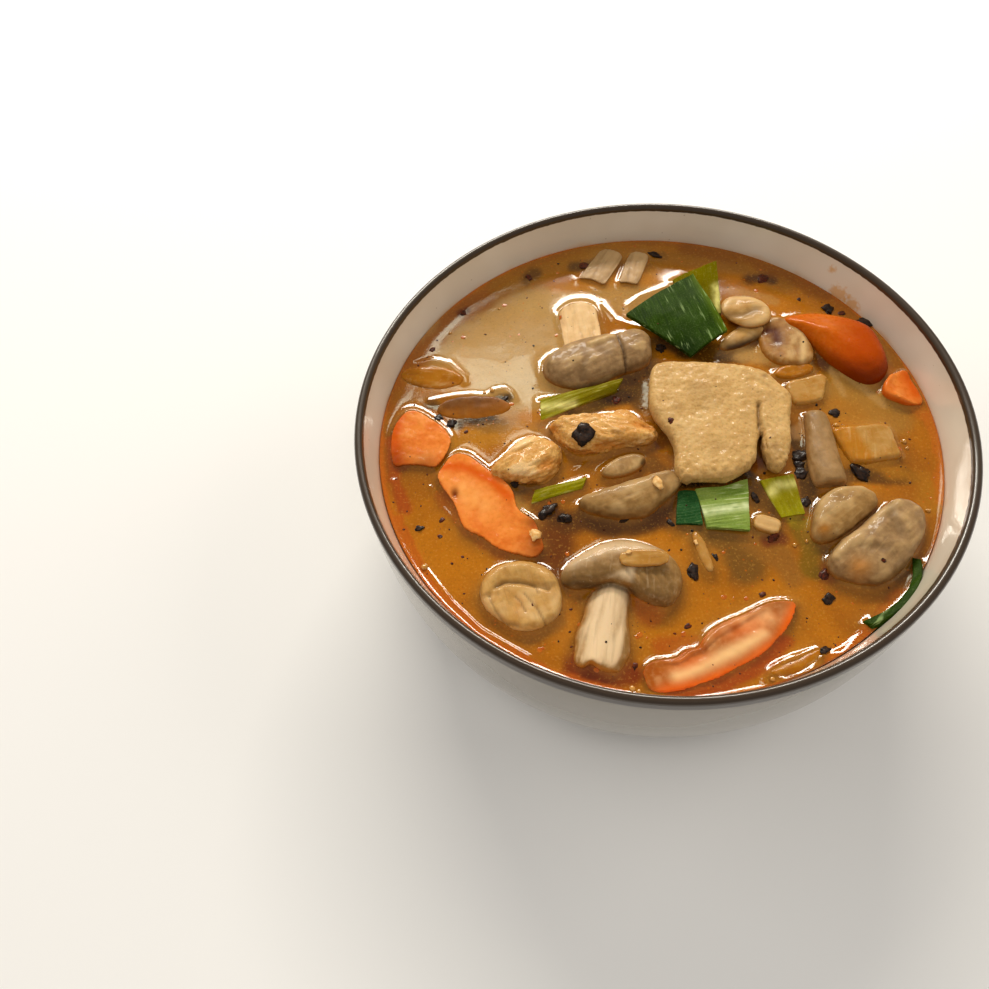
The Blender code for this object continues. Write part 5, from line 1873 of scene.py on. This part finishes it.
    def wetting(
        self, surface: np.ndarray, toppings: Sequence[bpy.types.Object]
    ) -> tuple[np.ndarray, np.ndarray]:
        """Measures each point of the surface against the toppings.

        Args:
            surface: the points.
            toppings: every piece that the broth may wet.

        Returns:
            How far the nearest topping is, and how high the broth climbs on it.
        """
        tree, owner = tree_of(toppings)
        tops = np.array([max(c[2] for c in piece.bound_box) for piece in toppings]) / MM - LEVEL
        climbs = np.clip(tops * 0.5, 0.2, self.climb)
        near, reach = np.full(len(surface), 12.0), np.zeros(len(surface))
        for i, place in enumerate(surface):
            found = tree.find_nearest(Vector(place) * MM, 12.0 * MM)
            if found[0] is not None:
                near[i], reach[i] = found[3] / MM, climbs[owner[found[2]]]
        return near, reach


def tree_of(pieces: Sequence[bpy.types.Object]) -> tuple[BVHTree, np.ndarray]:
    """A search tree over the faces of several pieces.

    Args:
        pieces: pieces whose objects stand at the origin.

    Returns:
        The tree, in metres, and the number of the piece that each face is of.
    """
    points: list[np.ndarray] = []
    faces: list[tuple[int, ...]] = []
    owner: list[int] = []
    start = 0
    for number, piece in enumerate(pieces):
        mesh = piece.data
        flat = np.empty(len(mesh.vertices) * 3, np.float32)
        mesh.vertices.foreach_get("co", flat)
        points.append(flat.reshape(-1, 3))
        faces += [tuple(start + i for i in polygon.vertices) for polygon in mesh.polygons]
        owner += [number] * len(mesh.polygons)
        start += len(mesh.vertices)
    return BVHTree.FromPolygons(np.concatenate(points).tolist(), faces), np.array(owner)


# --- Small things --------------------------------------------------------------------------------------


@dataclass
class Scatter:
    """Many small things of one kind, made once and copied with a size and turn of their own."""

    name: str
    finish: Plain
    slot: Slot
    places: Sequence[tuple[float, float, float]]  # x, y and size
    shape: Colour = (1.0, 0.7, 0.3)
    crumple: float = 0.3
    sink: float = 0.3
    detail: int = 2
    seed: int = 1
    on_toppings: float = 1.0  # the share of those above a topping that are kept

    def build(self, ground: BVHTree) -> bpy.types.Object:
        """Makes the things and drops each on what lies below it.

        Args:
            ground: the surfaces they may lie on.

        Returns:
            All of them as one piece.
        """
        bpy.ops.object.select_all(action="DESELECT")
        bpy.ops.mesh.primitive_ico_sphere_add(subdivisions=self.detail, radius=0.5)
        master = bpy.context.active_object
        flat = np.empty(len(master.data.vertices) * 3, np.float32)
        master.data.vertices.foreach_get("co", flat)
        ball = flat.reshape(-1, 3).astype(float)
        draw = np.random.default_rng(self.seed)
        copies = []
        for number, (x, y, size) in enumerate(self.places):
            lumps = 1 + self.crumple * cloud(ball + number * 3.7, 0.4, self.seed + number, 3)[:, None]
            body = ball * lumps * np.array(self.shape) * size * draw.uniform(0.85, 1.15, 3)
            hit = ground.ray_cast(Vector((x, y, LEVEL + 30.0)) * MM, Vector((0.0, 0.0, -1.0)))
            height = hit[0].z / MM if hit[0] else LEVEL
            if height > LEVEL + 1.2 and draw.uniform() > self.on_toppings:
                continue
            normal = hit[1] if hit[0] and hit[1].z > 0.3 else Vector((0.0, 0.0, 1.0))
            turn = normal.to_track_quat("Z", "Y").to_matrix() @ Matrix.Rotation(draw.uniform(0, 6.28), 3, "Z")
            body = body @ np.array(turn).T
            low = -self.shape[2] * size * self.sink
            body += np.array((x, y, height + self.shape[2] * size * 0.5 + low))
            copy = master.copy()
            copy.data = master.data.copy()
            bpy.context.scene.collection.objects.link(copy)
            copy.data.vertices.foreach_set("co", (body * MM).astype(np.float32).ravel())
            copies.append(copy)
        bpy.data.objects.remove(master)
        pick(*copies)
        bpy.ops.object.join()
        joined = bpy.context.active_object
        joined.name = joined.data.name = self.name
        hand_over(joined, self.slot, self.finish.material())
        return joined


BIG_FLAKES = (
    (-35.5, -23.5, 5.6), (-21.9, -2.0, 6.6), (-44.0, 19.4, 3.2), (-61.0, 12.8, 3.6), (-65.0, 15.8, 3.0),
    (1.0, -49.0, 3.8), (8.5, -45.5, 2.0), (-1.5, -33.0, 2.2), (41.8, -16.3, 4.6), (39.8, -22.3, 3.8),
    (38.5, -32.0, 3.0), (56.7, -24.3, 6.4), (57.0, -3.0, 3.6), (35.0, -62.0, 3.2), (29.0, -76.0, 3.0),
    (68.4, 39.6, 4.0), (76.6, 30.4, 6.2), (-74.0, -24.0, 2.5), (24.5, -28.5, 2.6), (-31.0, -27.0, 4.0),
    (10.8, 32.5, 4.6), (18.0, 76.0, 4.2), (-44.0, -13.5, 2.6), (-14.5, -30.5, 2.0), (40.6, -19.0, 3.4),
)
RED_FLAKES = (
    (-67.0, -22.0, 2.0), (-68.0, -27.5, 1.8), (-62.0, -35.0, 1.0), (36.0, -55.0, 3.2), (26.0, -42.0, 3.6),
    (18.0, -58.5, 2.2), (-4.0, -64.5, 2.0), (-20.0, -73.5, 2.0), (-34.0, -55.5, 1.0), (72.4, 37.1, 2.4),
    (52.0, 58.0, 4.5), (-28.0, 73.0, 3.0), (-53.0, 60.0, 2.8), (-65.0, 45.0, 2.0), (-8.0, 75.0, 4.0),
    (-8.0, 13.5, 3.0), (5.0, -2.0, 2.6), (-57.0, 9.0, 1.8), (61.0, 46.0, 1.6), (50.0, -56.0, 1.6),
)
CRUMBS = ((-3.3, -22.3, 3.6), (-40.7, -32.6, 3.8), (-16.5, -44.6, 1.6), (4.0, -40.5, 1.4))
BUBBLES = (
    (-73.0, -37.0, 2.0), (-22.0, -79.5, 1.6), (-20.5, -80.5, 1.2), (13.5, -82.0, 1.3), (73.0, -16.0, 1.6),
    (73.0, -18.5, 1.1), (55.5, -7.0, 1.6), (31.0, -45.0, 1.3), (34.5, -44.5, 1.1), (-47.0, 24.0, 1.6),
    (-49.5, 23.4, 1.1), (-15.0, -6.2, 1.5), (70.5, -40.0, 1.4), (-58.5, 51.5, 1.2), (-40.5, 60.0, 1.1),
)


def dust(count: int, seed: int, low: float, high: float) -> list[tuple[float, float, float]]:
    """Places for specks all over the broth, more of them towards the near side.

    Args:
        count: how many.
        seed: another seed gives other places.
        low, high: their least and largest size.

    Returns:
        x, y and size of each.
    """
    draw = np.random.default_rng(seed)
    places = []
    while len(places) < count:
        x, y = draw.uniform(-BROTH_RADIUS, BROTH_RADIUS, 2)
        if math.hypot(x, y) < BROTH_RADIUS - 1.5 and draw.uniform() < 0.75 - 0.25 * y / BROTH_RADIUS:
            places.append((x, y, low + (high - low) * draw.uniform() ** 2.5))
    return places


def make_scatters() -> list[Scatter]:
    """Everything small that floats on the broth or lies on the toppings."""
    return [
        Scatter("chilli_flakes", CHILLI_FLAKE, Slot.BROTH, BIG_FLAKES, (1.0, 0.72, 0.26), 0.8, 0.35, 3, 3),
        Scatter("chilli_skins", RED_SPECK, Slot.BROTH, RED_FLAKES, (1.0, 0.7, 0.22), 0.5, 0.5, 3, 5),
        Scatter("chilli_dust", RED_SPECK, Slot.BROTH, dust(420, 11, 0.25, 1.1), (1.0, 0.7, 0.3), 0.3, 0.5, 1, 7, 0.2),
        Scatter("pepper_dust", CHILLI_FLAKE, Slot.BROTH, dust(160, 13, 0.3, 1.2), (1.0, 0.8, 0.4), 0.3, 0.5, 1, 9, 0.15),
        Scatter("garlic_crumbs", CRUMB, Slot.BROTH, CRUMBS, (1.0, 0.7, 0.5), 0.5, 0.2, 3, 15),
        Scatter("oil_drops", OIL, Slot.BROTH, dust(110, 17, 0.5, 2.0), (1.0, 0.9, 0.1), 0.1, 0.6, 2, 17, 0.0),
        Scatter("broth_bubbles", BUBBLE, Slot.BROTH, BUBBLES, (1.0, 1.0, 0.7), 0.0, 0.4, 3, 19),
    ]


# --- Studio --------------------------------------------------------------------------------------------


@dataclass(frozen=True)
class Lamp:
    """A soft rectangular light that faces the bowl."""

    name: str
    azimuth: float  # degrees, 0 is behind the bowl and 90 is at its right
    elevation: float
    distance: float  # metres
    width: float
    height: float
    radiance: float
    tint: Colour = (1.0, 1.0, 1.0)
    mirrored: bool = False  # whether it shows in wet surfaces

    def build(self) -> bpy.types.Object:
        """Hangs the light.

        Returns:
            The light.
        """
        data = bpy.data.lights.new(self.name, "AREA")
        data.shape = "RECTANGLE"
        data.size, data.size_y = self.width, self.height
        data.energy = self.radiance * math.pi * self.width * self.height
        data.color = self.tint
        lamp = bpy.data.objects.new(self.name, data)
        bpy.context.scene.collection.objects.link(lamp)
        lamp.visible_glossy = self.mirrored
        a, e = math.radians(self.azimuth), math.radians(self.elevation)
        away = Vector((math.sin(a) * math.cos(e), math.cos(a) * math.cos(e), math.sin(e)))
        lamp.location = away * self.distance + Vector((0.0, 0.0, LEVEL * MM))
        lamp.rotation_euler = away.to_track_quat("Z", "Y").to_euler()
        return lamp


@dataclass
class Studio:
    """Floor, soft lights and the camera."""

    elevation: float = 58.25
    roll: float = -7.5
    lens: float = 28.9
    eye: Colour = (-0.0506, -0.1409, 0.2548)
    floor_tone: Colour = colour(240, 238, 235)
    lamps: tuple[Lamp, ...] = (
        Lamp("window", 2.0, 35.8, 1.2, 0.95, 0.15, 30.0, (1.0, 0.94, 0.84), True),
        Lamp("bright wall", -1.0, 48.9, 1.2, 0.225, 0.086, 6.8, (0.96, 1.0, 0.78), True),
        Lamp("ceiling", 200.0, 66.0, 1.5, 1.4, 1.0, 1.5, (1.0, 0.97, 0.92)),
        Lamp("left wall", -70.0, 35.0, 1.4, 1.0, 0.7, 1.85, (1.0, 0.97, 0.92)),
        Lamp("right wall", 85.0, 32.0, 1.4, 1.0, 0.7, 2.5, (1.0, 0.95, 0.88)),
    )
    ambient: float = 0.22

    def build(self) -> None:
        """Sets the stage and looks at it."""
        bpy.ops.object.select_all(action="DESELECT")
        bpy.ops.mesh.primitive_circle_add(vertices=96, radius=3.0, fill_type="NGON", location=(0, 0, -0.0002))
        floor = bpy.context.active_object
        floor.name = "floor"
        graph = Graph("floor paper")
        tone = graph.mix(graph.noise(400.0, 2.0), self.floor_tone, tuple(c * 0.98 for c in self.floor_tone))
        floor.data.materials.append(graph.close(Base_Color=tone, Roughness=0.8))
        for lamp in self.lamps:
            lamp.build()
        world = bpy.data.worlds.new("studio air")
        world.use_nodes = True
        background = world.node_tree.nodes["Background"]
        background.inputs["Color"].default_value = (1.0, 0.985, 0.96, 1.0)
        background.inputs["Strength"].default_value = self.ambient
        bpy.context.scene.world = world
        bpy.context.scene.view_settings.view_transform = "Standard"
        self.look()

    def look(self) -> None:
        """Puts the camera where the bowl is looked at from."""
        data = bpy.data.cameras.new("camera")
        data.lens, data.sensor_width = self.lens, 36.0
        data.clip_start, data.clip_end = 0.01, 20.0
        camera = bpy.data.objects.new("camera", data)
        bpy.context.scene.collection.objects.link(camera)
        tilt = Matrix.Rotation(math.radians(90 - self.elevation), 4, "X")
        turn = Matrix.Rotation(math.radians(self.roll), 4, "Z")
        camera.matrix_world = Matrix.Translation(self.eye) @ tilt @ turn
        bpy.context.scene.camera = camera


def report(piece: bpy.types.Object) -> None:
    """Logs one finished piece."""
    log.info("%s: %d faces", piece.name, len(piece.data.polygons))


def main() -> None:
    """Builds the bowl, the toppings, the broth round them, what is scattered over it, and the studio."""
    logging.basicConfig(level=logging.INFO, format="%(message)s")
    bowl = Bowl()
    report(bowl.build())
    toppings = make_toppings()
    pieces = [topping.build() for topping in toppings]
    for piece in pieces:
        report(piece)
    broth = Broth(bowl).build([piece for piece, topping in zip(pieces, toppings) if topping.wetted])
    report(broth)
    ground = tree_of([broth, *pieces])[0]
    for scatter in make_scatters():
        report(scatter.build(ground))
    Studio().build()


if __name__ == "__main__":
    main()
